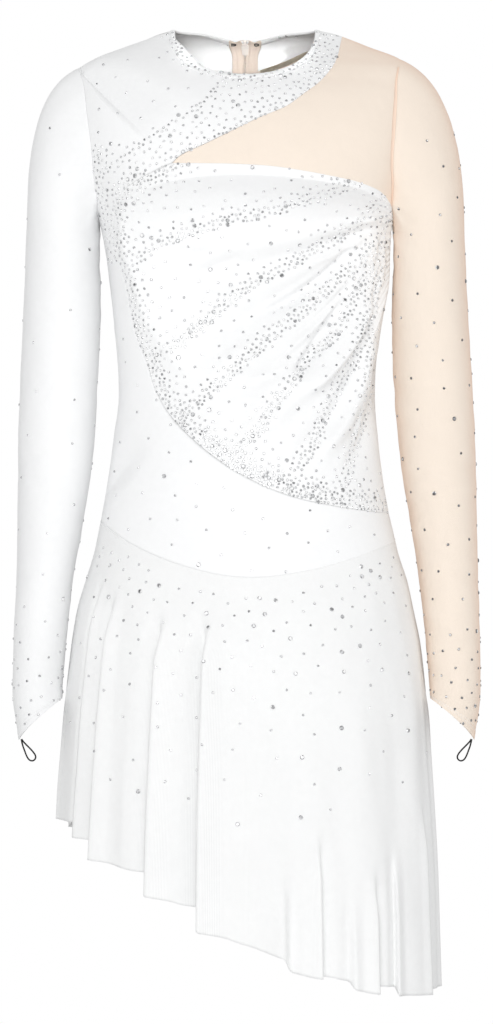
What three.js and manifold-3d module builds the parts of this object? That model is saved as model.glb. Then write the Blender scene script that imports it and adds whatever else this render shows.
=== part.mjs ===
// Figure skating dress, filled out as when it is worn. Millimetres, +Z up, front towards -Y.
// The wearer's right arm is at -X (white sleeve), the left at +X (net sleeve).
// The origin is midway between the two neck points, where the shoulders carry the dress.
import * as THREE from 'three';
import * as BufferGeometryUtils from 'three/addons/utils/BufferGeometryUtils.js';
import Module from 'manifold-3d';

const wasm = await Module();
wasm.setup();

// ---- driving sizes ---------------------------------------------------------------
const CLOTH = 1.2;              // wall of the stretch cloth and the net
const DRAPE_CLOTH = 1.6;        // wall of the gathered panel
const SKIRT_CLOTH = 1;          // wall of the soft skirt mesh
const BINDING = 2;              // wall of the folded neck binding
const SEAM_GAP = 0.34;          // between two pieces at a seam
const WAIST_SEAM_GAP = 0.6;     // between the bodice and the skirt
const LAYER_GAP = 0.4;          // between two layers that lie on each other
const ZIP_HALF_GAP = 1.4;       // from the centre back to each back edge
const SECTION_POWER = 2.3;      // superellipse of the body sections
const PUFF = 1.5;               // how far the gathered panel stands up from its seams
const FINGER_LOOP = 1.6;        // diameter of the elastic finger loops

// Body sections: height, centre shift, half width, and depth to the front and to the back.
const BODY = table(['z', 'shift', 'half', 'front', 'back'], [
  [0, 0, 70, 4, 38],
  [-4, 2, 87, 8, 44],
  [-10, 3, 103, 14, 50],
  [-18, 2, 124, 24, 55],
  [-28, 2, 150, 36, 61],
  [-40, 1, 168, 51, 68],
  [-55, 0, 172, 66, 75],
  [-76, 0, 172, 83, 83],
  [-110, 0, 169, 98, 91],
  [-150, 0, 160, 106, 96],
  [-190, 1, 147, 109, 96],
  [-220, 2.5, 142, 107, 92],
  [-255, 4, 139, 101, 86],
  [-290, 3, 134, 94, 80],
  [-330, 2, 129.5, 88, 74],
  [-370, 2, 128, 85, 72],
  [-400, 1, 131, 87, 78],
  [-440, 0.5, 136, 91, 89],
  [-480, 0.5, 142.5, 95, 99],
  [-515, 1, 150, 99, 106],
  [-560, 1, 158, 104, 110],
  [-600, 1, 165, 108, 113],
]);

// Skirt sections, below the seam.
const SKIRT = table(['z', 'shift', 'half', 'front', 'back'], [
  [-490, 1, 145, 96, 100],
  [-520, 2, 152, 101, 107],
  [-550, 1.5, 160.5, 107, 113],
  [-580, 0.5, 168, 113, 119],
  [-615, 1, 174.5, 120, 126],
  [-677, 1, 181, 130, 135],
  [-722, 0.5, 184, 136, 141],
  [-766, 0.5, 187, 141, 145],
  [-848, 1, 191, 148, 150],
  [-952, 1, 194, 154, 155],
]);

// Seam lines of the front, as x and z on the body.
const SASH_EDGE = [[93, -26], [87, -41], [74, -58], [57, -72], [40, -85], [15, -96], [-5, -106],
  [-37, -122], [-61, -133], [-71, -141.5]];
const DRAPE_TOP = [[-71, -141.5], [-38, -142], [-5, -143], [27, -145], [60, -149.6], [92, -155],
  [112, -159], [134, -167], [145.5, -179]];
const DRAPE_EDGE = [[-71, -141.5], [-107, -158], [-124, -172], [-129, -190], [-128, -210], [-124, -233],
  [-117, -261], [-112, -287], [-107, -308], [-96, -337], [-88, -362], [-72, -389], [-44, -417],
  [-14, -439], [18, -456], [51, -468], [94, -477], [124, -481], [143, -483]];
const DRAPE_FOOT = -484;         // where the drape's far edge ends on the side seam
const DRAPE_STRETCHES = [-182, -389];   // heights where that edge turns towards the side and the waist
const GATHERED_TO = -262;       // the side seam is gathered from the underarm down to here
const ARMHOLE_FRONT_RIGHT = [[-165, -37], [-161, -56], [-157.5, -80], [-152, -123], [-146, -172],
  [-144.7, -196]];
const ARMHOLE_FRONT_LEFT = [[155, -29.6], [152.5, -44], [150.5, -68], [148, -108], [146, -141], [145.5, -179],
  [147.2, -196]];
const ARMHOLE_BACK_RIGHT = [[-165, -37], [-158, -56], [-153, -85], [-149, -125], [-146, -170], [-144.7, -196]];
const ARMHOLE_BACK_LEFT = [[155, -29.6], [151, -48], [148, -78], [146, -120], [146, -170], [147.2, -196]];
const WAIST_SEAM_FRONT = table(['angle', 'z'], [
  [-90, -490], [-67, -498.5], [-48, -512.5], [-19, -536], [0, -546], [18, -540.5], [35, -531], [57, -518.5],
  [90, -508],
]);
const WAIST_SEAM_BACK = table(['angle', 'z'], [
  [-90, -490], [-65, -501], [-40, -516], [-20, -527], [0, -531], [20, -529], [40, -522], [65, -514], [90, -508],
]);
const BAND_SEAM_BACK = [[0, -36], [13, -34], [38, -26], [64, -15.5], [84, -12]];
const NET_EDGE_BACK = [[0, -212], [40, -211], [80, -206], [118, -200], [140, -197], [147.2, -196]];

// Neck opening: half width, drop in front and behind, and the height of its binding.
const NECK = { half: 70, drop: 50.5, power: 2.2, backDrop: 6, backReach: 50, binding: 5.3 };
const BAND_AT_SHOULDER = 97;    // x where the white neck band ends on the shoulder

// Gathers of the front panel: from the armpit end (x, z) to the far end, how far the fold bows
// sideways, how high it stands (or how deep it lies, if negative) and its half width.
const GATHERS = table(['x0', 'z0', 'x1', 'z1', 'bow', 'rise', 'spread'], [
  [130, -188, -88, -216, -16, 2.2, 9],
  [126, -196, -84, -246, -14, -2.2, 8],
  [127, -200, -80, -285, -12, 2.6, 10],
  [122, -208, -70, -322, -10, -2.4, 8],
  [128, -206, -52, -352, -12, 3.2, 9],
  [104, -218, 0, -291, -12, -3.4, 6],
  [128, -212, -30, -384, -16, 3.2, 9],
  [102, -258, 6, -350, -10, -3.6, 6],
  [130, -218, -2, -416, -22, 3.4, 9],
  [92, -282, 46, -352, -3, -4.2, 6],
  [120, -268, 54, -374, -9, 5, 7],
  [122, -290, 40, -434, -16, -3, 8],
  [123, -304, 68, -436, -14, 5, 7],
  [127, -322, 98, -452, -8, -2.6, 8],
]);

// Flutes of the skirt: where the fold edge sits (angle from the front centre), the height where it
// starts, half width, how far it leans over, its depth, which side lies on top (+1: the side with
// the larger angle) and the height of the hem on both sides of it.
const FLUTES = ['angle', 'start', 'width', 'lean', 'depth', 'onTop', 'hemBefore', 'hemAfter'];
const FLUTES_FRONT = table(FLUTES, [
  [-80, -640, 12, 3, 5, 1, -785, -786],
  [-60, -560, 15, 6, 7, 1, -787, -801],
  [-48.8, -572, 19, 11, 10, 1, -803, -821],
  [-25.5, -590, 27, 20, 15, 1, -832, -854],
  [-10.3, -592, 26, 19, 16, 1, -864, -888],
  [9.5, -800, 20, 4, 8, -1, -911, -927],
  [19, -700, 15, 8, 9, -1, -932, -930],
  [28.5, -780, 13, 3, 6, 1, -935, -944],
  [37.7, -740, 15, 8, 9, -1, -949, -942],
  [47, -700, 15, 8, 10, 1, -944, -953],
  [66, -690, 15, 6, 6, -1, -956, -952],
  [81, -650, 13, 4, 5, -1, -952, -953],
]);
const FLUTES_BACK = table(FLUTES, [
  [-82, -600, 13, 4, 5, 1, -785, -788],
  [-68, -565, 17, 7, 7, 1, -790, -802],
  [-52, -580, 22, 14, 11, 1, -806, -824],
  [-33, -588, 26, 18, 15, 1, -834, -852],
  [-15, -600, 26, 19, 15, 1, -862, -882],
  [4, -620, 25, 16, 14, 1, -892, -908],
  [22, -660, 23, 13, 12, -1, -920, -928],
  [39, -640, 22, 14, 12, 1, -936, -946],
  [55, -700, 18, 10, 9, -1, -950, -950],
  [68, -690, 15, 6, 6, -1, -953, -952],
  [81, -640, 13, 4, 5, -1, -952, -954],
]);
const HEM_AT_RIGHT = -785;      // hem at the wearer's right side seam
const HEM_AT_LEFT = -952;       // and at the left

// Sleeves: height of the ring's centre, outer and inner x, half depth, centre y, and how much
// higher the outer side of the ring is.
const SLEEVE_COLUMNS = ['z', 'outer', 'inner', 'half', 'y', 'tilt'];
const SLEEVE_WHITE = table(SLEEVE_COLUMNS, [
  [-201, -218, -145.6, 46, 0, 6],
  [-222, -219.2, -145.2, 45.5, 0, 3],
  [-250, -220.2, -144.4, 45, 0.5, 0],
  [-300, -222.5, -144.8, 44, 1.5, 0],
  [-350, -224.6, -147.2, 43, 3, 0],
  [-400, -226.7, -150, 41.5, 4, 0],
  [-450, -227.3, -155, 40, 3, 0],
  [-500, -227.6, -163.5, 38, -1, 0],
  [-550, -228.4, -171.8, 35, -7, 0],
  [-600, -230.2, -177.3, 31.5, -14, 0],
  [-640, -231, -180.5, 28.5, -20, 0],
  [-664, -230.8, -181.6, 27, -23, -6],
  [-687.5, -224.6, -182, 25.5, -26, -20.5],
]);
const SLEEVE_NET = table(SLEEVE_COLUMNS, [
  [-201, 219, 148.8, 46, 0, 6],
  [-222, 220, 148.4, 45.5, 0, 3],
  [-250, 221.4, 147.6, 45, 0.5, 0],
  [-300, 224, 147.4, 44, 1.5, 0],
  [-350, 227, 148.6, 43, 3, 0],
  [-400, 229.8, 152.6, 41.5, 4, 0],
  [-450, 231.3, 158.4, 40, 3, 0],
  [-500, 231.8, 166.8, 38, -1, 0],
  [-550, 232.8, 173.8, 35, -7, 0],
  [-600, 234, 179.4, 31.5, -14, 0],
  [-640, 234.2, 182.4, 28.5, -20, 0],
  [-664, 233.6, 183.8, 27, -23, -6],
  [-687.5, 227.6, 184.6, 25.5, -26, -20.5],
]);
const CAP_RINGS = 5;            // rings between the armhole and the first row
const CUFF_POINT = 0.8;         // below 1 the cuff ends in a sharper point

// Finger loops: the elastic's route from the cuff point: towards the body, back, and up.
const LOOP_ROUTE = [[1.1, 1, -1.6], [1.5, 1, -3.8], [2.6, 0.9, -6.4], [4.6, 0.8, -9], [7.2, 0.6, -11.8],
  [9.8, 0.4, -14.6], [11.3, 0.2, -17.2], [11.2, 0, -19.8], [9.4, -0.2, -21.8], [6.6, -0.4, -22.4],
  [3.8, -0.6, -21.4], [1.4, -0.7, -19], [-0.4, -0.8, -15.8], [-1.5, -0.9, -12.2], [-1.9, -1, -8.4],
  [-1.7, -1, -4.8], [-1.3, -1, -1.6]];

// Zip, with its tapes inside the back and its pull outside.
const ZIP = { top: -9, bottom: -345, tapeFrom: 1.5, tapeWidth: 11.5, tape: 1, under: 2.6 };
const SLIDER = {
  width: 8.4, height: 12, top: -5, plate: 1.8, neck: 2, outside: 1.3, inside: 4.7,
  lug: 1.1, lugFrom: 2.5, lugReach: 3.2, pin: 0.65, pinZ: -2.5,
};
const PULL = { width: 5.4, length: 24, thick: 1.2, eye: 1.9, eyeHole: 1, eyeWidth: 4.2, slack: 0.5, lean: 8 };
const HOOK = { wire: 0.45, reach: 4.5, width: 2.6, x: -9, top: -12.5 };
const EYE = { wire: 0.45, reach: 1.6, width: 4.4, x: 9, top: -12.5 };
const SEAM_STRIP = { width: 5.5, from: 15.5, to: 70, under: 2.6, thick: 1 };

// ---- colours ---------------------------------------------------------------------
const finish = (name, color, roughness, metalness = 0) =>
  new THREE.MeshStandardMaterial({ name, color, roughness, metalness });
const WHITE = finish('white_stretch', 0xfafafa, 0.6);
const NET = finish('skin_net', 0xfaeadb, 0.7);
const MESH = finish('skirt_mesh', 0xf6f7f7, 0.75);
const TAPE = finish('zip_tape', 0xe4d6c8, 0.8);
const SEAM_THREAD = finish('seam_strip', 0xc8bea8, 0.85);
const ELASTIC = finish('black_elastic', 0x151515, 0.7);
const ZIP_METAL = finish('zip_slider', 0xd8c9ba, 0.35);
const HOOK_METAL = finish('black_wire', 0x141414, 0.4, 0.8);

// ---- small tools -----------------------------------------------------------------
function table(columns, rows) {
  return rows.map((row) => Object.fromEntries(columns.map((column, k) => [column, row[k]])));
}

const mix = (a, b, t) => a + (b - a) * t;
const clamp = (value, low, high) => Math.min(high, Math.max(low, value));
const ease = (t) => { const c = clamp(t, 0, 1); return c * c * (3 - 2 * c); };
const point = (x, y, z) => new THREE.Vector3(x, y, z);

// Value of a column where the key column has a value, on a smooth line through the rows.
function at(rows, column, value, key = 'z') {
  const last = rows.length - 1;
  const way = Math.sign(rows[last][key] - rows[0][key]);
  let k = 0;
  while (k < last - 1 && way * (value - rows[k + 1][key]) > 0) k += 1;
  const slope = (j) => {
    const before = rows[Math.max(j - 1, 0)];
    const after = rows[Math.min(j + 1, last)];
    return (after[column] - before[column]) / (after[key] - before[key]);
  };
  const [from, to] = [rows[k], rows[k + 1]];
  const step = to[key] - from[key];
  const t = (value - from[key]) / step;
  if (t < 0) return from[column] + slope(k) * (value - from[key]);
  if (t > 1) return to[column] + slope(k + 1) * (value - to[key]);
  const [t2, t3] = [t * t, t * t * t];
  return (2 * t3 - 3 * t2 + 1) * from[column] + (t3 - 2 * t2 + t) * step * slope(k)
    + (3 * t2 - 2 * t3) * to[column] + (t3 - t2) * step * slope(k + 1);
}

// ---- the body form ---------------------------------------------------------------
const halfWidth = (rows, z) => Math.max(20, at(rows, 'half', z));
const depth = (rows, z, back) => Math.max(4, at(rows, back ? 'back' : 'front', z));
const sideX = (side, z) => at(BODY, 'shift', z) + side * halfWidth(BODY, z);

function profile(rows, x, z, back) {
  const u = Math.min(1, Math.abs(x - at(rows, 'shift', z)) / halfWidth(rows, z));
  return (back ? 1 : -1) * depth(rows, z, back) * (1 - u ** SECTION_POWER) ** (1 / SECTION_POWER);
}

// 1 on the body form, less inside.
function level(p) {
  const u = Math.abs(p.x - at(BODY, 'shift', p.z)) / halfWidth(BODY, p.z);
  const v = Math.abs(p.y) / depth(BODY, p.z, p.y > 0);
  return (u ** SECTION_POWER + v ** SECTION_POWER) ** (1 / SECTION_POWER);
}

function gradient(p) {
  const h = 0.02;
  const slope = (x, y, z) => (level(point(p.x + x, p.y + y, p.z + z))
    - level(point(p.x - x, p.y - y, p.z - z))) / (2 * h);
  return point(slope(h, 0, 0), slope(0, h, 0), slope(0, 0, h));
}

const bodyNormal = (p) => gradient(p).normalize();

function ontoBody(p) {
  const moved = p.clone();
  for (let step = 0; step < 12; step += 1) {
    const g = gradient(moved);
    moved.addScaledVector(g, clamp((1 - level(moved)) / g.lengthSq(), -200, 200));
  }
  return moved;
}

// A point on a set of sections, at an angle from the centre and a height.
function sectionPoint(rows, angle, z, back) {
  const turn = THREE.MathUtils.degToRad(angle);
  const bend = 2 / SECTION_POWER;
  const x = at(rows, 'shift', z) + halfWidth(rows, z) * Math.sign(turn) * Math.abs(Math.sin(turn)) ** bend;
  const y = depth(rows, z, back) * Math.abs(Math.cos(turn)) ** bend;
  return point(x, back ? y : -y, z);
}

// ---- seam lines ------------------------------------------------------------------
const frontPoint = (x, z) => point(x, profile(BODY, x, z, false), z);
const backPoint = (x, z) => point(x, profile(BODY, x, z, true), z);
const sidePoint = (side, z) => point(sideX(side, z), 0, z);

function shoulderPoint(x) {
  const side = Math.sign(x);
  let [high, low] = [0, -50];
  for (let step = 0; step < 40; step += 1) {
    const middle = (high + low) / 2;
    if (side * sideX(side, middle) < side * x) high = middle;
    else low = middle;
  }
  return point(x, 0, (high + low) / 2);
}

// Equal steps along a line of closely spaced points.
function evenly(line, steps) {
  const length = [0];
  for (let k = 1; k < line.length; k += 1) length.push(length[k - 1] + line[k].distanceTo(line[k - 1]));
  const result = [];
  let k = 1;
  for (let s = 0; s <= steps; s += 1) {
    const goal = length.at(-1) * s / steps;
    while (k < line.length - 1 && length[k] < goal) k += 1;
    const t = clamp((goal - length[k - 1]) / (length[k] - length[k - 1]), 0, 1);
    result.push(line[k - 1].clone().lerp(line[k], t));
  }
  return result;
}

function surfaceLine(rows, face) {
  const spline = new THREE.SplineCurve(rows.map(([x, z]) => new THREE.Vector2(x, z)));
  return spline.getPoints(rows.length * 24).map((q) => face(q.x, q.y));
}

// A seam on the body, from one corner to another through rows of x and z.
function seam(from, rows, to, face, steps) {
  const line = surfaceLine(rows, face);
  if (from) line.unshift(from);
  if (to) line.push(to);
  return evenly(line, steps);
}

// The dropped waist seam between two angles.
function waistSeam(rows, from, to, back, steps) {
  const line = Array.from({ length: 121 }, (_, k) => {
    const angle = mix(from, to, k / 120);
    return sectionPoint(BODY, angle, at(rows, 'z', angle, 'angle'), back);
  });
  return evenly(line, steps);
}

const shoulder = (x0, x1, steps) =>
  Array.from({ length: steps + 1 }, (_, k) => shoulderPoint(mix(x0, x1, k / steps)));
const sideSeam = (side, z0, z1, steps) =>
  Array.from({ length: steps + 1 }, (_, k) => sidePoint(side, mix(z0, z1, k / steps)));

// Splits each stretch of a seam into equal straight steps, so that two pieces share its corners.
function split(line, parts) {
  return line.slice(1).reduce((result, to, k) => {
    const from = line[k];
    for (let s = 1; s <= parts; s += 1) result.push(from.clone().lerp(to, s / parts));
    return result;
  }, [line[0]]);
}

const join = (...lines) => lines.reduce((whole, line) => whole.concat(line.slice(1)));
const turned = (line) => [...line].reverse();

// Neck line, on the front or on one half of the back, 'lower' below the opening's edge.
function neckLine(back, side, steps, lower) {
  const half = NECK.half + lower * 0.95;
  const rows = [];
  for (let k = 0; k <= 60; k += 1) {
    const turn = back ? k / 60 : 1 - k / 30;
    const s = Math.sin(turn * Math.PI / 2);
    const shoulderZ = lower > 0 ? shoulderPoint(half).z : 0;
    if (back) {
      const x = mix(ZIP_HALF_GAP, half, turn);
      const dip = (NECK.backDrop + lower - (lower > 0 ? -shoulderZ : 0))
        * (1 + Math.cos(Math.PI * Math.min(1, x / (NECK.backReach + lower)))) / 2;
      rows.push(backPoint(side * x, Math.min(-0.02, shoulderZ - dip)));
    } else {
      const drop = NECK.drop + lower + shoulderZ;
      const z = shoulderZ - drop * (1 - Math.abs(s) ** NECK.power) ** (1 / NECK.power);
      rows.push(frontPoint(half * s, Math.min(-0.02, z)));
    }
  }
  return evenly(rows, steps);
}

// ---- walls of cloth --------------------------------------------------------------
// A closed wall from a grid of outer points and their normals. 'wrap' joins the last column
// to the first, for a tube.
function wall(name, material, outer, normals, thickness, wrap = false) {
  const [rows, columns] = [outer.length, outer[0].length];
  const positions = [];
  const put = (p) => positions.push(p.x, p.y, p.z);
  outer.forEach((row) => row.forEach(put));
  outer.forEach((row, i) => row.forEach((p, j) => {
    put(p.clone().addScaledVector(normals[i][j], -thickness));
  }));
  const inner = rows * columns;
  const index = (i, j) => i * columns + (wrap ? j % columns : j);
  const faces = [];
  const quad = (a, b, c, d) => faces.push(a, b, c, a, c, d);
  const across = wrap ? columns : columns - 1;
  for (let i = 0; i < rows - 1; i += 1) {
    for (let j = 0; j < across; j += 1) {
      const [a, b, c, d] = [index(i, j), index(i + 1, j), index(i + 1, j + 1), index(i, j + 1)];
      quad(a, b, c, d);
      quad(inner + d, inner + c, inner + b, inner + a);
    }
  }
  const rim = (a, b) => quad(a, b, inner + b, inner + a);
  for (let j = 0; j < across; j += 1) {
    rim(index(0, j), index(0, j + 1));
    rim(index(rows - 1, j + 1), index(rows - 1, j));
  }
  if (!wrap) {
    for (let i = 0; i < rows - 1; i += 1) {
      rim(index(i + 1, 0), index(i, 0));
      rim(index(i, columns - 1), index(i + 1, columns - 1));
    }
  }
  return closedMesh(name, material, positions, faces);
}

// Turns the faces out where the grid runs the other way round.
function closedMesh(name, material, positions, faces) {
  let volume = 0;
  const corner = (k) => point(...positions.slice(3 * k, 3 * k + 3));
  for (let f = 0; f < faces.length; f += 3) {
    volume += corner(faces[f]).dot(corner(faces[f + 1]).cross(corner(faces[f + 2])));
  }
  if (volume < 0) {
    for (let f = 0; f < faces.length; f += 3) [faces[f], faces[f + 1]] = [faces[f + 1], faces[f]];
  }
  const geometry = new THREE.BufferGeometry();
  geometry.setAttribute('position', new THREE.Float32BufferAttribute(positions, 3));
  geometry.setIndex(faces);
  geometry.computeVertexNormals();
  const mesh = new THREE.Mesh(geometry, material);
  mesh.name = name;
  return mesh;
}

// Fills four seam lines with a grid (top and bottom run alike, so do left and right).
function fill(top, bottom, left, right) {
  const [rows, columns] = [left.length - 1, top.length - 1];
  return left.map((_, i) => top.map((__, j) => {
    const [u, v] = [j / columns, i / rows];
    const p = point(0, 0, 0);
    p.addScaledVector(top[j], 1 - v).addScaledVector(bottom[j], v);
    p.addScaledVector(left[i], 1 - u).addScaledVector(right[i], u);
    p.addScaledVector(top[0], -(1 - u) * (1 - v)).addScaledVector(top[columns], -u * (1 - v));
    p.addScaledVector(bottom[0], -(1 - u) * v).addScaledVector(bottom[columns], -u * v);
    return p;
  }));
}

// Draws the edges of a grid in by half a seam gap, within its surface.
function drawIn(grid, gap = SEAM_GAP / 2) {
  const [m, n] = [grid.length - 1, grid[0].length - 1];
  const inward = (p, next, along) => {
    const tangent = along.clone().normalize();
    const step = next.clone().sub(p);
    return step.addScaledVector(tangent, -step.dot(tangent)).normalize();
  };
  return grid.map((row, i) => row.map((p, j) => {
    const moved = p.clone();
    const alongRow = grid[i][Math.min(j + 1, n)].clone().sub(grid[i][Math.max(j - 1, 0)]);
    const alongColumn = grid[Math.min(i + 1, m)][j].clone().sub(grid[Math.max(i - 1, 0)][j]);
    if (i === 0) moved.addScaledVector(inward(p, grid[1][j], alongRow), gap);
    if (i === m) moved.addScaledVector(inward(p, grid[m - 1][j], alongRow), gap);
    if (j === 0) moved.addScaledVector(inward(p, grid[i][1], alongColumn), gap);
    if (j === n) moved.addScaledVector(inward(p, grid[i][n - 1], alongColumn), gap);
    return moved;
  }));
}

// A panel of the bodice: its grid lies on the body form, 'raise' lifts it where it is gathered.
function panel(name, material, top, bottom, left, right, options = {}) {
  const thickness = options.thickness ?? CLOTH;
  const raw = fill(top, bottom, left, right);
  const [m, n] = [raw.length - 1, raw[0].length - 1];
  const edge = (i, j) => i === 0 || j === 0 || i === m || j === n;
  const onForm = raw.map((row, i) => row.map((p, j) => (edge(i, j) ? p : ontoBody(p))));
  const normals = onForm.map((row) => row.map(bodyNormal));
  const drawn = drawIn(onForm);
  const outer = drawn.map((row, i) => row.map((p, j) => {
    const lift = options.raise && !edge(i, j) ? options.raise(p, i / m, j / n) : 0;
    return p.clone().addScaledVector(normals[i][j], lift);
  }));
  return wall(name, material, outer, normals, thickness);
}

// ---- bodice ----------------------------------------------------------------------
const STEPS = { neck: 10, shoulder: 4, armhole: 9, side: 9, hem: 14, netArmhole: 7, backNeck: 5, zip: 9 };

const shoulderRight = ontoBody(point(-165, 0, -37));
const shoulderLeft = ontoBody(point(155, 0, -29.6));
const underarmRight = sidePoint(-1, -196);
const underarmLeft = sidePoint(1, -196);
const bandEnd = shoulderPoint(BAND_AT_SHOULDER);
const sashTip = frontPoint(...DRAPE_TOP[0]);
const drapeCorner = frontPoint(...DRAPE_TOP.at(-1));
const drapeFoot = sidePoint(1, DRAPE_FOOT);
const waistRight = sidePoint(-1, WAIST_SEAM_FRONT[0].z);
const waistLeft = sidePoint(1, WAIST_SEAM_FRONT.at(-1).z);
const backMiddleZ = at(WAIST_SEAM_BACK, 'z', 0, 'angle');

const neckFront = neckLine(false, 1, STEPS.neck, NECK.binding);
const neckBackRight = neckLine(true, -1, STEPS.backNeck, NECK.binding);
const neckBackLeft = neckLine(true, 1, STEPS.backNeck, NECK.binding);
const neckRight = neckFront.at(-1);
const neckLeft = neckFront[0];

const sashEdge = seam(bandEnd, SASH_EDGE, null, frontPoint, STEPS.neck + STEPS.shoulder);
const drapeTop = seam(null, DRAPE_TOP, null, frontPoint, 7);
const armholeFrontRight = seam(shoulderRight, ARMHOLE_FRONT_RIGHT.slice(1, -1), underarmRight, frontPoint,
  STEPS.armhole);
const armholeBackRight = seam(shoulderRight, ARMHOLE_BACK_RIGHT.slice(1, -1), underarmRight, backPoint,
  STEPS.armhole);
const armholeNet = seam(shoulderLeft, ARMHOLE_FRONT_LEFT.slice(1, -1), null, frontPoint, STEPS.netArmhole);
const armholeDrape = seam(null, ARMHOLE_FRONT_LEFT.slice(-2), underarmLeft, frontPoint, 2);
const armholeBackLeft = seam(shoulderLeft, ARMHOLE_BACK_LEFT.slice(1, -1), underarmLeft, backPoint,
  STEPS.armhole);

// The drape's far edge, in three stretches that face the armhole, the side seam and the waist seam.
const drapeEdge = (() => {
  const line = surfaceLine(DRAPE_EDGE, frontPoint);
  const cuts = DRAPE_STRETCHES.map((z) => line.findIndex((p) => p.z < z));
  return join(evenly(line.slice(0, cuts[0] + 1), STEPS.armhole),
    evenly(line.slice(cuts[0], cuts[1] + 1), STEPS.side),
    evenly([...line.slice(cuts[1]), drapeFoot], STEPS.hem));
})();
const waistSeamFront = waistSeam(WAIST_SEAM_FRONT, -90, 90, false, STEPS.hem);

function frontBase() {
  const inner = join(sashEdge, drapeEdge);
  const outer = join(neckFront, shoulder(neckRight.x, shoulderRight.x, STEPS.shoulder), armholeFrontRight,
    sideSeam(-1, underarmRight.z, waistRight.z, STEPS.side), waistSeamFront);
  const across = 5;
  const bandWidth = shoulder(neckLeft.x, bandEnd.x, across);
  const lowerSide = sideSeam(1, waistLeft.z, drapeFoot.z, across);
  return panel('front_base', WHITE, outer, inner, bandWidth, lowerSide);
}

function frontNet() {
  const shoulderEdge = shoulder(bandEnd.x, shoulderLeft.x, 7);
  return panel('front_net', NET, sashEdge, split(armholeNet, 2), shoulderEdge, drapeTop);
}

function gatherHeight(p, u, v) {
  const fromEdge = Math.min(u, 1 - u) * 9;
  const fromSide = Math.min(v, 1 - v) * 9;
  const fade = ease(fromEdge) * ease(fromSide);
  const folds = GATHERS.reduce((sum, fold) => {
    const [dx, dz] = [fold.x1 - fold.x0, fold.z1 - fold.z0];
    const length = Math.hypot(dx, dz);
    const t = ((p.x - fold.x0) * dx + (p.z - fold.z0) * dz) / length ** 2;
    const off = ((p.x - fold.x0) * dz - (p.z - fold.z0) * dx) / length;
    const away = (off - fold.bow * 4 * t * (1 - t)) / fold.spread;
    const ends = ease(t * 5 + 0.3) * ease((1 - t) * 3.5);
    return sum + fold.rise * ends * Math.exp(-away * away);
  }, 0);
  return fade * (PUFF + folds);
}

function frontDrape() {
  const parts = { armhole: 1, rest: 2 };
  const far = join(drapeEdge.slice(0, STEPS.armhole + 1), split(drapeEdge.slice(STEPS.armhole), parts.rest));
  const fan = far.length - 1;
  const nearArmhole = 16;
  const near = join(split(armholeDrape, nearArmhole / 2),
    sideSeam(1, underarmLeft.z, GATHERED_TO, fan - nearArmhole));
  const across = 14;
  const top = split(turned(drapeTop), across / (drapeTop.length - 1));
  const lowerSide = sideSeam(1, GATHERED_TO, drapeFoot.z, across);
  return panel('front_drape', WHITE, near, far, top, lowerSide,
    { thickness: DRAPE_CLOTH, raise: gatherHeight });
}

const zipEdge = (side, z0, z1, steps) =>
  Array.from({ length: steps + 1 }, (_, k) => backPoint(side * ZIP_HALF_GAP, mix(z0, z1, k / steps)));

// Half of the back waist seam, from the zip to the side.
function waistSeamBack(side) {
  const zipAngle = THREE.MathUtils.radToDeg(Math.asin((ZIP_HALF_GAP / sideX(1, backMiddleZ))
    ** (SECTION_POWER / 2)));
  return waistSeam(WAIST_SEAM_BACK, side * zipAngle, side * 90, true, 9);
}

function backRight() {
  const top = join(neckBackRight, shoulder(neckRight.x, shoulderRight.x, STEPS.shoulder));
  const side = join(armholeBackRight, sideSeam(-1, underarmRight.z, waistRight.z, STEPS.side));
  const centre = zipEdge(-1, neckBackRight[0].z, backMiddleZ, side.length - 1);
  return panel('back_right', WHITE, top, waistSeamBack(-1), centre, side);
}

const bandSeam = seam(backPoint(ZIP_HALF_GAP, BAND_SEAM_BACK[0][1]), BAND_SEAM_BACK.slice(1), bandEnd,
  backPoint, STEPS.backNeck);
const netEdgeBack = seam(backPoint(ZIP_HALF_GAP, NET_EDGE_BACK[0][1]), NET_EDGE_BACK.slice(1, -1), underarmLeft,
  backPoint, 9);

function backBand() {
  const across = 2;
  const centre = zipEdge(1, neckBackLeft[0].z, bandSeam[0].z, across);
  return panel('back_left_band', WHITE, neckBackLeft, bandSeam, centre,
    shoulder(neckLeft.x, bandEnd.x, across));
}

function backNet() {
  const top = join(bandSeam, shoulder(bandEnd.x, shoulderLeft.x, STEPS.shoulder));
  const centre = zipEdge(1, bandSeam[0].z, netEdgeBack[0].z, STEPS.armhole);
  return panel('back_left_net', NET, top, netEdgeBack, centre, armholeBackLeft);
}

function backLower() {
  const centre = zipEdge(1, netEdgeBack[0].z, backMiddleZ, STEPS.side);
  const side = sideSeam(1, underarmLeft.z, waistLeft.z, STEPS.side);
  return panel('back_left_lower', WHITE, netEdgeBack, waistSeamBack(1), centre, side);
}

// The neck binding follows the opening from one side of the zip to the other.
function neckBinding() {
  const stand = 0.5;
  const ring = (lower) => join(neckLine(true, 1, STEPS.backNeck, lower),
    neckLine(false, 1, STEPS.neck, lower), turned(neckLine(true, -1, STEPS.backNeck, lower)));
  const [low, high] = [ring(NECK.binding), ring(0)];
  const rows = [0, 0.5, 1].map((t) => low.map((p, j) => p.clone().lerp(high[j], t)));
  const normals = rows.map((row) => row.map(bodyNormal));
  const drawn = drawIn(rows);
  const outer = drawn.map((row, i) => row.map((p, j) =>
    p.clone().addScaledVector(normals[i][j], stand + (i === 1 ? 0.3 : 0))));
  return wall('neck_binding', WHITE, outer, normals, BINDING);
}

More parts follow.
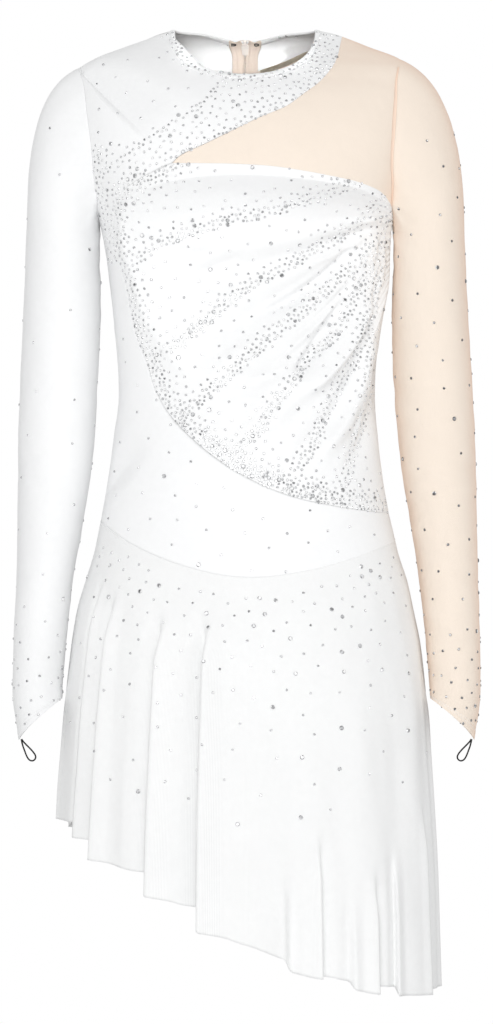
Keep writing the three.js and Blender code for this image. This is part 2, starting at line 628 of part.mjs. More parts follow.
// ---- sleeves ---------------------------------------------------------------------
function sleeve(name, material, side, armhole, rows) {
  const columns = armhole.length;
  const turn = (j) => 2 * Math.PI * j / columns;
  const ringPoint = (row, j) => {
    const angle = turn(j);
    const [middle, half] = [(row.outer + row.inner) / 2, (row.outer - row.inner) / 2];
    const last = row === rows.at(-1);
    const lean = last ? 1 - 2 * ((1 - Math.cos(angle)) / 2) ** CUFF_POINT : Math.cos(angle);
    return point(middle + half * Math.cos(angle), row.y - row.half * Math.sin(angle), row.z + row.tilt * lean);
  };
  const first = armhole.map((_, j) => ringPoint(rows[0], j));
  // Cap: each line leaves the armhole outwards and ends downwards on the first row.
  const capPoint = (j, t) => {
    const outward = (1 + Math.cos(turn(j))) / 2;
    const reach = first[j].distanceTo(armhole[j]);
    const leave = point(side * mix(0.35, 0.93, outward), 0, -mix(0.9, 0.37, outward))
      .multiplyScalar(0.8 * reach);
    const arrive = point(0, 0, -mix(1, 1.5, outward) * reach);
    const [t2, t3] = [t * t, t * t * t];
    return point(0, 0, 0).addScaledVector(armhole[j], 2 * t3 - 3 * t2 + 1)
      .addScaledVector(leave, t3 - 2 * t2 + t)
      .addScaledVector(first[j], 3 * t2 - 2 * t3)
      .addScaledVector(arrive, t3 - t2);
  };
  const start = armhole.map((p, j) => {
    const away = capPoint(j, 0.02).sub(p).normalize();
    return p.clone().addScaledVector(away, SEAM_GAP / 2).add(point(side * 0.25, 0, 0));
  });
  const cap = Array.from({ length: CAP_RINGS }, (_, k) =>
    armhole.map((__, j) => capPoint(j, (k + 1) / (CAP_RINGS + 1))));
  const grid = [start, ...cap, ...rows.map((row) => armhole.map((_, j) => ringPoint(row, j)))];
  const normals = grid.map((ring, i) => ring.map((p, j) => {
    const along = grid[Math.min(i + 1, grid.length - 1)][j].clone().sub(grid[Math.max(i - 1, 0)][j]);
    const around = ring[(j + 1) % columns].clone().sub(ring[(j + columns - 1) % columns]);
    return around.cross(along).normalize().multiplyScalar(side);
  }));
  return wall(name, material, grid, normals, CLOTH, true);
}

const armholeRing = (front, back) => [...front, ...turned(back).slice(1, -1)];

// ---- skirt -----------------------------------------------------------------------
// Height of the hem: straight between the flutes, and steep within each.
function hemHeight(angle, flutes) {
  const reach = (flute) => flute.width * 0.4 / 3;
  let [fromAngle, fromZ] = [-90, HEM_AT_RIGHT];
  for (const flute of flutes) {
    const [start, end] = [flute.angle - reach(flute), flute.angle + reach(flute)];
    if (angle < start) return mix(fromZ, flute.hemBefore, (angle - fromAngle) / (start - fromAngle));
    if (angle < end) {
      return mix(flute.hemBefore, flute.hemAfter, ease((angle - start) / (end - start)));
    }
    [fromAngle, fromZ] = [end, flute.hemAfter];
  }
  return mix(fromZ, HEM_AT_LEFT, (angle - fromAngle) / (90 - fromAngle));
}

// Angles of the skirt's columns: seven to a flute, and more between them where there is room.
function skirtColumns(flutes, back) {
  const degrees = (flute) => flute.width / arcPerDegree(flute.angle, back);
  const inFlute = [-1, -0.66, -0.33, 0, 0.33, 0.66, 1];
  const angles = flutes.flatMap((flute) => inFlute.map((u) => flute.angle + u * degrees(flute)));
  const all = [-90, ...angles, 90].filter((a) => Math.abs(a) <= 90).sort((a, b) => a - b);
  const spaced = all.filter((a, k) => k === 0 || a === 90 || (a - all[k - 1] > 1.1 && 90 - a > 1.1));
  return spaced.flatMap((a, k) => {
    const next = spaced[k + 1] ?? a;
    const parts = Math.max(1, Math.round((next - a) / 7));
    return k === spaced.length - 1 ? [a] : Array.from({ length: parts }, (_, s) => mix(a, next, s / parts));
  });
}

// Millimetres of hem to one degree, near an angle.
function arcPerDegree(angle, back) {
  const z = -860;
  return sectionPoint(SKIRT, angle + 0.5, z, back).distanceTo(sectionPoint(SKIRT, angle - 0.5, z, back));
}

function skirtPoint(angle, t, seamZ, flutes, back) {
  const z = mix(seamZ, hemHeight(angle, flutes), t);
  const flare = ease((seamZ - z) / 45);
  const p = sectionPoint(BODY, angle, Math.max(z, -600), back);
  p.z = z;
  p.lerp(sectionPoint(SKIRT, angle, z, back), flare);
  const ahead = sectionPoint(SKIRT, angle + 0.5, z, back);
  const tangent = ahead.sub(sectionPoint(SKIRT, angle - 0.5, z, back)).normalize();
  const outward = point(tangent.y, -tangent.x, 0).multiplyScalar(back ? -1 : 1);
  for (const flute of flutes) {
    const u = (angle - flute.angle) * arcPerDegree(flute.angle, back) / flute.width;
    if (Math.abs(u) >= 1) continue;
    const grown = ease((flute.start - z) / 90) * mix(0.6, 1, ease((flute.start - z) / 300));
    const wave = grown * Math.sin(Math.PI * u) * (1 + Math.cos(Math.PI * u)) / 2;
    p.addScaledVector(tangent, -flute.lean * wave);
    p.addScaledVector(outward, flute.depth * flute.onTop * wave);
  }
  return p;
}

function skirt(name, back, seamRows, flutes) {
  const rows = 8;
  const seamHeight = (angle) => at(seamRows, 'z', angle, 'angle') - WAIST_SEAM_GAP;
  const angles = skirtColumns(flutes, back);
  const grid = Array.from({ length: rows + 1 }, (_, i) => {
    const t = (i / rows) ** 0.9;
    return angles.map((angle) => skirtPoint(angle, t, seamHeight(angle), flutes, back));
  });
  const normals = grid.map((row, i) => row.map((_, j) => {
    const along = grid[Math.min(i + 1, rows)][j].clone().sub(grid[Math.max(i - 1, 0)][j]);
    const around = row[Math.min(j + 1, row.length - 1)].clone().sub(row[Math.max(j - 1, 0)]);
    return around.cross(along).normalize().multiplyScalar(back ? 1 : -1);
  }));
  const drawn = grid.map((row) => row.map((p, j) => {
    const edge = j === 0 || j === row.length - 1;
    return edge ? point(p.x, (back ? 1 : -1) * SEAM_GAP / 2, p.z) : p;
  }));
  const flatEdges = normals.map((row) => row.map((n, j) =>
    (j === 0 || j === row.length - 1 ? point(n.x, 0, n.z).normalize() : n)));
  return wall(name, MESH, drawn, flatEdges, SKIRT_CLOTH);
}

// ---- zip, hook and seam strip ----------------------------------------------------
function zipTape(name, side) {
  const [rows, across] = [14, 2];
  const grid = Array.from({ length: rows + 1 }, (_, i) => Array.from({ length: across + 1 }, (__, j) => {
    const x = side * (ZIP.tapeFrom + ZIP.tapeWidth * j / across);
    return backPoint(x, mix(ZIP.top, ZIP.bottom, i / rows));
  }));
  const normals = grid.map((row) => row.map(bodyNormal));
  const sunk = grid.map((row, i) => row.map((p, j) =>
    p.clone().addScaledVector(normals[i][j], -ZIP.under)));
  return wall(name, TAPE, sunk, normals, ZIP.tape);
}

// The overlocked edge of the band seam, pressed down inside the back.
function seamStrip() {
  const steps = 6;
  const line = surfaceLine(BAND_SEAM_BACK.slice(1), backPoint)
    .filter((p) => p.x > SEAM_STRIP.from && p.x < SEAM_STRIP.to);
  const upper = evenly(line, steps);
  const grid = [upper, upper.map((p) => ontoBody(point(p.x, p.y, p.z - SEAM_STRIP.width * 0.8)))];
  const normals = grid.map((row) => row.map(bodyNormal));
  const sunk = grid.map((row, i) => row.map((p, j) =>
    p.clone().addScaledVector(normals[i][j], -SEAM_STRIP.under)));
  return wall('seam_strip', SEAM_THREAD, sunk, normals, SEAM_STRIP.thick);
}

const named = (name, material, geometry) => {
  const mesh = new THREE.Mesh(geometry, material);
  mesh.name = name;
  return mesh;
};

function extruded(outline, depthMm) {
  const shape = new THREE.Shape(outline.map(([a, b]) => new THREE.Vector2(a, b)));
  return new THREE.ExtrudeGeometry(shape, { depth: depthMm, bevelEnabled: false, steps: 1 });
}

// The zip's own frame: origin on the back's outer face at the slider, local +Y outwards.
const slideMiddle = backPoint(0, SLIDER.top - SLIDER.height / 2);
const slideNormal = bodyNormal(slideMiddle);
const slideLean = Math.atan2(slideNormal.z, slideNormal.y);
const pinHeight = SLIDER.outside + SLIDER.plate + PULL.eye + PULL.slack;

function inZipFrame(mesh) {
  mesh.rotation.x = slideLean;
  mesh.position.copy(slideMiddle);
  return mesh;
}

function cylinder(radius, from, to, sides) {
  const geometry = new THREE.CylinderGeometry(radius, radius, to - from, sides);
  return geometry.rotateZ(Math.PI / 2).translate((from + to) / 2, 0, 0);
}

function toManifold(geometry) {
  const bare = geometry.index ? geometry.toNonIndexed() : geometry.clone();
  bare.deleteAttribute('normal');
  bare.deleteAttribute('uv');
  const merged = BufferGeometryUtils.mergeVertices(bare, 1e-4);
  return new wasm.Manifold(new wasm.Mesh({
    numProp: 3,
    vertProperties: merged.attributes.position.array,
    triVerts: Uint32Array.from(merged.index.array),
  }));
}

function fromManifold(solid) {
  const { vertProperties, triVerts } = solid.getMesh();
  const geometry = new THREE.BufferGeometry();
  geometry.setAttribute('position', new THREE.BufferAttribute(vertProperties, 3));
  geometry.setIndex(new THREE.BufferAttribute(triVerts, 1));
  return geometry;
}

// Two plates joined by a neck between the back edges, with two lugs and a pin across the outer one.
function zipSlider() {
  const { width, height, plate, neck, outside, inside, lug, lugFrom, lugReach, pin, pinZ } = SLIDER;
  const [w, k] = [width / 2, neck / 2];
  const outline = [[-w, outside], [-w, outside + plate], [w, outside + plate], [w, outside],
    [k, outside], [k, -inside], [w, -inside], [w, -inside - plate], [-w, -inside - plate], [-w, -inside],
    [-k, -inside], [-k, outside]];
  let body = toManifold(extruded(outline, height).translate(0, 0, -height / 2));
  const lugFoot = outside + plate / 2;
  const lugHeight = pinHeight + pin + 0.3 - lugFoot;
  for (const side of [-1, 1]) {
    const block = new THREE.BoxGeometry(lug, lugHeight, lugReach);
    block.translate(side * (lugFrom + lug / 2), lugFoot + lugHeight / 2, pinZ);
    body = body.add(toManifold(block));
  }
  const bar = cylinder(pin, -lugFrom - lug / 2, lugFrom + lug / 2, 12).translate(0, pinHeight, pinZ);
  return inZipFrame(named('zip_slider', ZIP_METAL, fromManifold(body.add(toManifold(bar)))));
}

// The pull hangs from the pin by its eye and leans in against the back.
function zipPull() {
  const { width, length, thick, eye, eyeHole, eyeWidth, lean } = PULL;
  const half = width / 2;
  const outline = new THREE.Shape();
  outline.moveTo(-eyeWidth / 2, -eye * 0.6);
  outline.lineTo(-half, -length * 0.45);
  outline.lineTo(-half, -length + half);
  outline.absarc(0, -length + half, half, Math.PI, 2 * Math.PI, false);
  outline.lineTo(half, -length * 0.45);
  outline.lineTo(eyeWidth / 2, -eye * 0.6);
  const blade = new THREE.ExtrudeGeometry(outline, { depth: thick, bevelEnabled: false, curveSegments: 8 });
  blade.translate(0, 0, -thick / 2).rotateX(Math.PI / 2);
  const ring = toManifold(cylinder(eye, -eyeWidth / 2, eyeWidth / 2, 20));
  const hole = toManifold(cylinder(eyeHole, -eyeWidth, eyeWidth, 16));
  const body = toManifold(blade).add(ring).subtract(hole);
  const geometry = fromManifold(body).rotateX(-THREE.MathUtils.degToRad(lean));
  geometry.translate(0, pinHeight, SLIDER.pinZ);
  return inZipFrame(named('zip_pull', ZIP_METAL, geometry));
}

// ---- wires and loops -------------------------------------------------------------
function tube(name, material, route, radius, sides, steps) {
  const section = new THREE.Shape();
  for (let k = 0; k < sides; k += 1) {
    const angle = 2 * Math.PI * k / sides;
    const [a, b] = [radius * Math.cos(angle), radius * Math.sin(angle)];
    if (k === 0) section.moveTo(a, b);
    else section.lineTo(a, b);
  }
  section.closePath();
  const path = new THREE.CatmullRomCurve3(route, false, 'centripetal');
  const geometry = new THREE.ExtrudeGeometry(section, { steps, extrudePath: path, bevelEnabled: false });
  return named(name, material, geometry);
}

// Wires lie on the inner face of the zip tapes, at an x along the neck and a height.
function onTape(x, z, rise = 0) {
  const p = backPoint(x, z);
  return p.addScaledVector(bodyNormal(p), -(ZIP.under + ZIP.tape + LAYER_GAP + rise));
}

function hook() {
  const { wire, reach, width, x, top } = HOOK;
  const side = width / 2;
  const route = [[0, side], [reach * 0.6, side], [reach, 0], [reach * 0.6, -side], [0, -side]];
  return tube('hook', HOOK_METAL, route.map(([a, b]) => onTape(x - reach + a, top + b, wire)), wire, 6, 12);
}

function eye() {
  const { wire, reach, width, x, top } = EYE;
  const side = width / 2;
  const route = [[reach, side], [0.4, side * 0.8], [0, 0], [0.4, -side * 0.8], [reach, -side]];
  return tube('eye', HOOK_METAL, route.map(([a, b]) => onTape(x + a, top + b, wire)), wire, 6, 12);
}

// The elastic leaves the cuff point on one side and comes back on the other.
function fingerLoop(name, side, rows) {
  const cuff = rows.at(-1);
  const tip = point(cuff.outer, cuff.y, cuff.z + cuff.tilt);
  const route = LOOP_ROUTE.map(([inwards, y, down]) => tip.clone().add(point(-side * inwards, y, down)));
  return tube(name, ELASTIC, route, FINGER_LOOP / 2, 8, 20);
}

// ---- the dress -------------------------------------------------------------------
const dress = new THREE.Group();
dress.name = 'figure_skating_dress';
dress.add(frontBase(), frontNet(), frontDrape());
dress.add(backRight(), backBand(), backNet(), backLower(), neckBinding());
dress.add(sleeve('sleeve_white', WHITE, -1, armholeRing(armholeFrontRight, armholeBackRight), SLEEVE_WHITE));
dress.add(sleeve('sleeve_net', NET, 1,
  armholeRing(join(armholeNet, armholeDrape), armholeBackLeft), SLEEVE_NET));
dress.add(skirt('skirt_front', false, WAIST_SEAM_FRONT, FLUTES_FRONT));
dress.add(skirt('skirt_back', true, WAIST_SEAM_BACK, FLUTES_BACK));
dress.add(zipTape('zip_tape_right', -1), zipTape('zip_tape_left', 1), seamStrip());
dress.add(zipSlider(), zipPull(), hook(), eye());
dress.add(fingerLoop('finger_loop_white', -1, SLEEVE_WHITE), fingerLoop('finger_loop_net', 1, SLEEVE_NET));

export default dress;
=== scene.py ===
"""Figure skating dress: its cloth, seams, stones, zip and finger loops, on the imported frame.

Sizes are in millimetres and are turned into metres when a mesh is made. +Z is up, the front faces -Y,
and the origin is midway between the two neck points, where the wearer's shoulders carry the dress.
"""

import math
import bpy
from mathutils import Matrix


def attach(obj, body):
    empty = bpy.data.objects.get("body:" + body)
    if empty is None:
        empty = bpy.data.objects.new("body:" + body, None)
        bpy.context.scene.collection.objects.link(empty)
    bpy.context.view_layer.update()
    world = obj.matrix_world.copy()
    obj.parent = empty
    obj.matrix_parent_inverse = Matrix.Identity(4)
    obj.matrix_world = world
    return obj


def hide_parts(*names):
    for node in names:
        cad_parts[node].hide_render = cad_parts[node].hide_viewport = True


bl_info = {
    "name": "Figure Skating Dress",
    "version": (1, 0, 0),
    "blender": (4, 5, 0),
    "location": "View3D > Sidebar > Skating Dress",
    "description": "Makes the cloth, seams, stones, zip and finger loops of a figure skating dress",
    "category": "Add Mesh",
}

import bmesh
import bpy
import numpy as np
from bpy.props import FloatProperty, FloatVectorProperty, IntProperty, PointerProperty
from mathutils import Matrix, Vector
from mathutils.bvhtree import BVHTree

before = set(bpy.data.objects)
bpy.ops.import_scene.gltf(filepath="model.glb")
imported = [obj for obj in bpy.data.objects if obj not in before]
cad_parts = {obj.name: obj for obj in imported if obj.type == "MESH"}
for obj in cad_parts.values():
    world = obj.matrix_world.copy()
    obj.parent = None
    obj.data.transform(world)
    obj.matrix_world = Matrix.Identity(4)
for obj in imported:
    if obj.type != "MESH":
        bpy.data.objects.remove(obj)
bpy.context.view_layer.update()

MM = 0.001
BODY_NAME = "dress"
PULL_NAME = "pull"
FINISH_OF = {"white_stretch": "white_jersey", "skin_net": "nude_net", "skirt_mesh": "skirt_tulle"}

# ---- sizes
ZIP_HALF_GAP = 1.4          # from the centre back to each back edge
SECTION_POWER = 2.3         # superellipse of the body sections
PUFF = 1.5                  # how far the gathered panel stands up from its seams
SEAM_SINK = 0.12            # how far a panel's edge rolls in at its seam
SEAM_ROLL = 1.5             # width of that roll
TUCK_WIDTH = 1.5            # how far a sleeve or the skirt runs on under the bodice's edge
TUCK_DEPTH = 0.6            # and how deep it lies there
PANEL_INSET = 0.04          # from a panel's edge to the seam line
SEAM_STEPS = (0.6, 1.2, 2, 3.2, 4.6)    # rows of the cloth where it rolls in at a seam
FINGER_LOOP = 1.6           # diameter of the elastic finger loops
TUBE_SIDES = 12             # faces round a cord or wire
UNROLL_DEPTH, UNROLL_RADIUS = 40, 150   # how the bodice is rolled out flat for its weave


class Table:
    """Rows with named columns, read on a smooth line through them by the first column."""

    def __init__(self, columns, rows):
        self.names = columns.split()
        self.rows = sorted(rows)
        data = np.array(self.rows, float).T
        self.key = data[0]
        last = len(self.key) - 1
        before = np.maximum(np.arange(last + 1) - 1, 0)
        after = np.minimum(np.arange(last + 1) + 1, last)
        run = np.maximum(self.key[after] - self.key[before], 1e-9)
        self.data = dict(zip(self.names, data))
        self.slope = {name: (line[after] - line[before]) / run for name, line in self.data.items()}

    def at(self, column, value):
        value = np.asarray(value, float)
        data, slope = self.data[column], self.slope[column]
        k = np.clip(np.searchsorted(self.key, value) - 1, 0, len(self.key) - 2)
        step = self.key[k + 1] - self.key[k]
        t = (value - self.key[k]) / step
        inside = hermite(np.clip(t, 0, 1), data[k], data[k + 1], slope[k] * step, slope[k + 1] * step)
        return inside + slope[k] * step * np.minimum(t, 0) + slope[k + 1] * step * np.maximum(t - 1, 0)

    def records(self):
        return [dict(zip(self.names, row)) for row in self.rows]


def hermite(t, start, end, leave, arrive):
    t2, t3 = t * t, t * t * t
    return ((2 * t3 - 3 * t2 + 1) * start + (t3 - 2 * t2 + t) * leave
            + (3 * t2 - 2 * t3) * end + (t3 - t2) * arrive)


# Body sections: height, centre shift, half width, and depth to the front and to the back.
BODY = Table("z shift half front back", [
    (0, 0, 70, 4, 38), (-4, 2, 87, 8, 44), (-10, 3, 103, 14, 50), (-18, 2, 124, 24, 55),
    (-28, 2, 150, 36, 61), (-40, 1, 168, 51, 68), (-55, 0, 172, 66, 75), (-76, 0, 172, 83, 83),
    (-110, 0, 169, 98, 91), (-150, 0, 160, 106, 96), (-190, 1, 147, 109, 96), (-220, 2.5, 142, 107, 92),
    (-255, 4, 139, 101, 86), (-290, 3, 134, 94, 80), (-330, 2, 129.5, 88, 74), (-370, 2, 128, 85, 72),
    (-400, 1, 131, 87, 78), (-440, 0.5, 136, 91, 89), (-480, 0.5, 142.5, 95, 99), (-515, 1, 150, 99, 106),
    (-560, 1, 158, 104, 110), (-600, 1, 165, 108, 113),
])

# Skirt sections, below the seam.
SKIRT = Table("z shift half front back", [
    (-490, 1, 145, 96, 100), (-520, 2, 152, 101, 107), (-550, 1.5, 160.5, 107, 113),
    (-580, 0.5, 168, 113, 119), (-615, 1, 174.5, 120, 126), (-677, 1, 181, 130, 135),
    (-722, 0.5, 184, 136, 141), (-766, 0.5, 187, 141, 145), (-848, 1, 191, 148, 150),
    (-952, 1, 194, 154, 155),
])

# Seam lines, as x and z on the body.
SASH_EDGE = [(93, -26), (87, -41), (74, -58), (57, -72), (40, -85), (15, -96), (-5, -106), (-37, -122),
             (-61, -133), (-71, -141.5)]
DRAPE_TOP = [(-71, -141.5), (-38, -142), (-5, -143), (27, -145), (60, -149.6), (92, -155), (112, -159),
             (134, -167), (145.5, -179)]
DRAPE_EDGE = [(-71, -141.5), (-107, -158), (-124, -172), (-129, -190), (-128, -210), (-124, -233),
              (-117, -261), (-112, -287), (-107, -308), (-96, -337), (-88, -362), (-72, -389), (-44, -417),
              (-14, -439), (18, -456), (51, -468), (94, -477), (124, -481), (143, -483)]
DRAPE_FOOT = -484
DRAPE_STRETCHES = (-182, -389)
GATHERED_TO = -262
ARMHOLE_FRONT_RIGHT = [(-161, -56), (-157.5, -80), (-152, -123), (-146, -172)]
ARMHOLE_FRONT_LEFT = [(152.5, -44), (150.5, -68), (148, -108), (146, -141), (145.5, -179)]
ARMHOLE_BACK_RIGHT = [(-158, -56), (-153, -85), (-149, -125), (-146, -170)]
ARMHOLE_BACK_LEFT = [(151, -48), (148, -78), (146, -120), (146, -170)]
WAIST_SEAM_FRONT = Table("angle z", [
    (-90, -490), (-67, -498.5), (-48, -512.5), (-19, -536), (0, -546), (18, -540.5), (35, -531),
    (57, -518.5), (90, -508),
])
WAIST_SEAM_BACK = Table("angle z", [
    (-90, -490), (-65, -501), (-40, -516), (-20, -527), (0, -531), (20, -529), (40, -522), (65, -514),
    (90, -508),
])
BAND_SEAM_BACK = [(13, -34), (38, -26), (64, -15.5), (84, -12)]
BAND_SEAM_CENTRE = -36
NET_EDGE_BACK = [(40, -211), (80, -206), (118, -200), (140, -197)]
NET_EDGE_CENTRE = -212
UNDERARM = -196
SHOULDER_RIGHT = (-165, 0, -37)
SHOULDER_LEFT = (155, 0, -29.6)
BAND_AT_SHOULDER = 97

# Neck opening: half width, drop in front and behind, and the height of its binding.
NECK_HALF, NECK_DROP, NECK_POWER = 70, 50.5, 2.2
NECK_BACK_DROP, NECK_BACK_REACH, NECK_BINDING = 6, 50, 5.3

# Gathers of the front panel: from the armpit end to the far end, how far the fold bows sideways,
# how high it stands (or how deep it lies, if negative) and its half width.
GATHERS = Table("x0 z0 x1 z1 bow rise spread", [
    (130, -188, -88, -216, -16, 2.2, 9), (126, -196, -84, -246, -14, -2.2, 8),
    (127, -200, -80, -285, -12, 2.6, 10), (122, -208, -70, -322, -10, -2.4, 8),
    (128, -206, -52, -352, -12, 3.2, 9), (104, -218, 0, -291, -12, -3.4, 6),
    (128, -212, -30, -384, -16, 3.2, 9), (102, -258, 6, -350, -10, -3.6, 6),
    (130, -218, -2, -416, -22, 3.4, 9), (92, -282, 46, -352, -3, -4.2, 6),
    (120, -268, 54, -374, -9, 5, 7), (122, -290, 40, -434, -16, -3, 8),
    (123, -304, 68, -436, -14, 5, 7), (127, -322, 98, -452, -8, -2.6, 8),
])

# Finer creases between the gathers, in the same columns.
CREASES = Table("x0 z0 x1 z1 bow rise spread", [
    (-14, -221, -82, -227, -2, -0.9, 4), (1, -228, -75, -266, 3, -1.1, 4),
    (101, -219, 2, -290, -5, 1.6, 3.4), (108, -226, 30, -286, -4, -1.3, 3),
    (98, -263, 12, -347, -6, 1.5, 3.2), (104, -248, 40, -316, -4, -1.5, 2.8),
    (81, -296, 48, -350, 2, -1.8, 3), (118, -276, 57, -371, -8, 1.4, 3),
    (121, -312, 71, -429, -9, 1.5, 3), (128, -250, 104, -330, -5, -1.6, 3),
    (131, -236, 116, -300, -4, 1.3, 2.6), (126, -330, 92, -440, -6, 1.1, 3.6),
    (128, -196, 72, -214, -3, -1.2, 3), (132, -190, 96, -196, -2, 1, 2.6),
    (118, -206, 60, -238, -4, 1.1, 3), (134, -205, 122, -240, -2, -1.3, 2.4),
    (136, -214, 130, -262, -2, 1.1, 2.4), (60, -232, -20, -262, -3, -0.8, 4),
    (34, -300, -28, -356, -4, -0.8, 4), (20, -366, -12, -404, -2, -0.8, 4.5),
    (84, -372, 56, -428, -3, 0.9, 3), (110, -372, 96, -440, -3, -0.9, 3),
])

# Flutes of the skirt: the angle of the fold edge, the height where it starts, half width, lean, depth,
# which side lies on top, and the height of the hem on both sides of it.
FLUTE_COLUMNS = "angle start width lean depth on_top hem_before hem_after"
FLUTES_FRONT = Table(FLUTE_COLUMNS, [
    (-80, -640, 12, 3, 5, 1, -785, -786), (-60, -560, 15, 6, 7, 1, -787, -801),
    (-48.8, -572, 19, 11, 10, 1, -803, -821), (-25.5, -590, 27, 20, 15, 1, -832, -854),
    (-10.3, -592, 26, 19, 16, 1, -864, -888), (9.5, -840, 20, 4, 8, -1, -911, -927),
    (19, -800, 15, 8, 8, -1, -932, -930), (28.5, -860, 13, 3, 6, 1, -935, -944),
    (37.7, -840, 15, 8, 8, -1, -949, -942), (47, -820, 15, 8, 8, 1, -944, -953),
    (66, -780, 15, 6, 6, -1, -956, -952), (81, -650, 13, 4, 5, -1, -952, -953),
])
FLUTES_BACK = Table(FLUTE_COLUMNS, [
    (-82, -600, 13, 4, 5, 1, -785, -788), (-68, -565, 17, 7, 7, 1, -790, -802),
    (-52, -580, 22, 14, 11, 1, -806, -824), (-33, -588, 26, 18, 15, 1, -834, -852),
    (-15, -600, 26, 19, 15, 1, -862, -882), (4, -620, 25, 16, 14, 1, -892, -908),
    (22, -660, 23, 13, 12, -1, -920, -928), (39, -640, 22, 14, 12, 1, -936, -946),
    (55, -700, 18, 10, 9, -1, -950, -950), (68, -690, 15, 6, 6, -1, -953, -952),
    (81, -640, 13, 4, 5, -1, -952, -954),
])
HEM_AT_RIGHT, HEM_AT_LEFT = -785, -952
FLUTE_HEM_SHARE = 0.4 / 3
FLUTE_MIDDLE = -860.0
FLUTE_LEAD, FLUTE_GROWTH, FLUTE_FULL = 20, 62, 300
WAVE_GROWTH = 150
FLARE_LENGTH = 45
SIDE_ANGLE = 90
SKIRT_COLUMNS, SKIRT_ROWS = 262, 112
SKIRT_PER_DEGREE = 3.1      # millimetres of cloth for each degree
LIP_RISE, LIP_BELOW, LIP_WIDTH = 0.35, 1.6, 1.1     # soft ridge below the waist seam, at the sides
LIP_FROM, LIP_OVER = 38, 20                         # degrees from the middle where it begins and grows

# Soft waves between the flutes: angle, height where they start, half width in degrees and height.
WAVES_FRONT = Table("angle start spread rise", [
    (-76, -600, 2.4, 0.9), (-62, -590, 2.2, -0.8), (-47, -610, 2.4, 1), (-41, -640, 2.6, -1.1),
    (-36, -600, 2, 0.8), (-23, -620, 2.6, -1.2), (-18, -660, 2, 0.9), (-4, -640, 3, 1.4),
    (2, -560, 2.2, -0.8), (6, -600, 4, 1.4), (11, -700, 2.4, -0.8), (18, -600, 5, 1.8),
    (34, -570, 8, 3.6), (50, -600, 5, -2), (62, -590, 5, 2), (74, -600, 2.6, 1.2), (79, -700, 2, -0.8),
])
WAVES_BACK = Table("angle start spread rise", [
    (-76, -610, 2.6, -1), (-60, -600, 2.4, 1), (-44, -620, 3, -1.4), (-38, -640, 2, 1),
    (-25, -600, 2.6, 1.3), (-20, -660, 2, -1), (-8, -620, 2.6, -1.4), (-2, -600, 2.2, 1.2),
    (11, -620, 2.8, 1.8), (15, -680, 2, -1.2), (29, -600, 2.8, 2), (33, -660, 1.8, -1.2),
    (47, -620, 2.4, 1.6), (61, -620, 2.4, -1.4), (74, -620, 2.2, 1.3),
])

# Rings of the sleeves: height of the centre, half depth, centre y, how much higher the outer side is, and
# the outer and inner x of the white sleeve and of the net one.
SLEEVE_RINGS = [
    (-201, 46, 0, 6, -218, -145.6, 219, 148.8), (-222, 45.5, 0, 3, -219.2, -145.2, 220, 148.4),
    (-250, 45, 0.5, 0, -220.2, -144.4, 221.4, 147.6), (-300, 44, 1.5, 0, -222.5, -144.8, 224, 147.4),
    (-350, 43, 3, 0, -224.6, -147.2, 227, 148.6), (-400, 41.5, 4, 0, -226.7, -150, 229.8, 152.6),
    (-450, 40, 3, 0, -227.3, -155, 231.3, 158.4), (-500, 38, -1, 0, -227.6, -163.5, 231.8, 166.8),
    (-550, 35, -7, 0, -228.4, -171.8, 232.8, 173.8), (-600, 31.5, -14, 0, -230.2, -177.3, 234, 179.4),
    (-640, 28.5, -20, 0, -231, -180.5, 234.2, 182.4), (-664, 27, -23, -6, -230.8, -181.6, 233.6, 183.8),
    (-687.5, 25.5, -26, -20.5, -224.6, -182, 227.6, 184.6),
]
SLEEVE_WHITE, SLEEVE_NET = (
    Table("z half y tilt outer inner", [ring[:4] + ring[at:at + 2] for ring in SLEEVE_RINGS])
    for at in (4, 6))
CUFF_POINT = 0.8
CUFF_HEM = 9
SLEEVE_COLUMNS, SLEEVE_ROWS = 112, 114
CAP_SHARES = np.concatenate([[0.003, 0.008, 0.014, 0.022, 0.034], np.linspace(0.05, 1, 24)[:-1]])
CUFF_ROWS = (4.4, 3, 1.8, 0.8, 0)
FOLDS_FADE_CAP, FOLDS_FADE_CUFF = 14, 26
ARM_SEAM_DEPTH, ARM_SEAM_WIDTH = 0.5, 1.3
ARM_RIDGE_RISE, ARM_RIDGE_FROM, ARM_RIDGE_WIDTH = 0.18, 3.4, 1.6
HEM_STEP, HEM_GROOVE = 0.35, 0.25

# Folds of a sleeve: height, turn round the sleeve in degrees (0 outside, 90 front, 180 inside, 270 back),
# slant in millimetres for each degree, half width, reach in degrees, and rise.
SLEEVE_FOLDS = Table("z turn slant spread reach rise", [
    (-92, 128, 0.5, 6, 30, 1.1), (-118, 146, 0.62, 6, 34, -1.2), (-140, 150, 0.7, 5, 36, 1.3),
    (-166, 160, 0.8, 6, 40, -1.4), (-205, 176, 0.5, 6, 46, 1.2), (-236, 186, 0.3, 7, 52, -1),
    (-282, 200, 0.24, 8, 50, 0.7), (-356, 150, -0.18, 9, 54, -0.8), (-398, 96, 0.26, 8, 56, 0.9),
    (-424, 70, 0.3, 6, 50, -1.1), (-446, 96, 0.12, 6, 58, 1.3), (-468, 120, -0.2, 6, 54, -1.2),
    (-496, 140, -0.3, 7, 52, 0.9), (-540, 60, 0.28, 8, 46, -0.7), (-588, 130, 0.3, 7, 50, 0.7),
    (-626, 100, -0.3, 7, 50, -0.7), (-120, 236, -0.6, 6, 36, 1.1), (-150, 224, -0.7, 6, 36, -1.2),
    (-190, 214, -0.6, 7, 44, 1), (-410, 262, 0.2, 8, 56, -1), (-436, 270, -0.2, 7, 58, 1.1),
    (-560, 280, 0.3, 8, 50, -0.7),
])

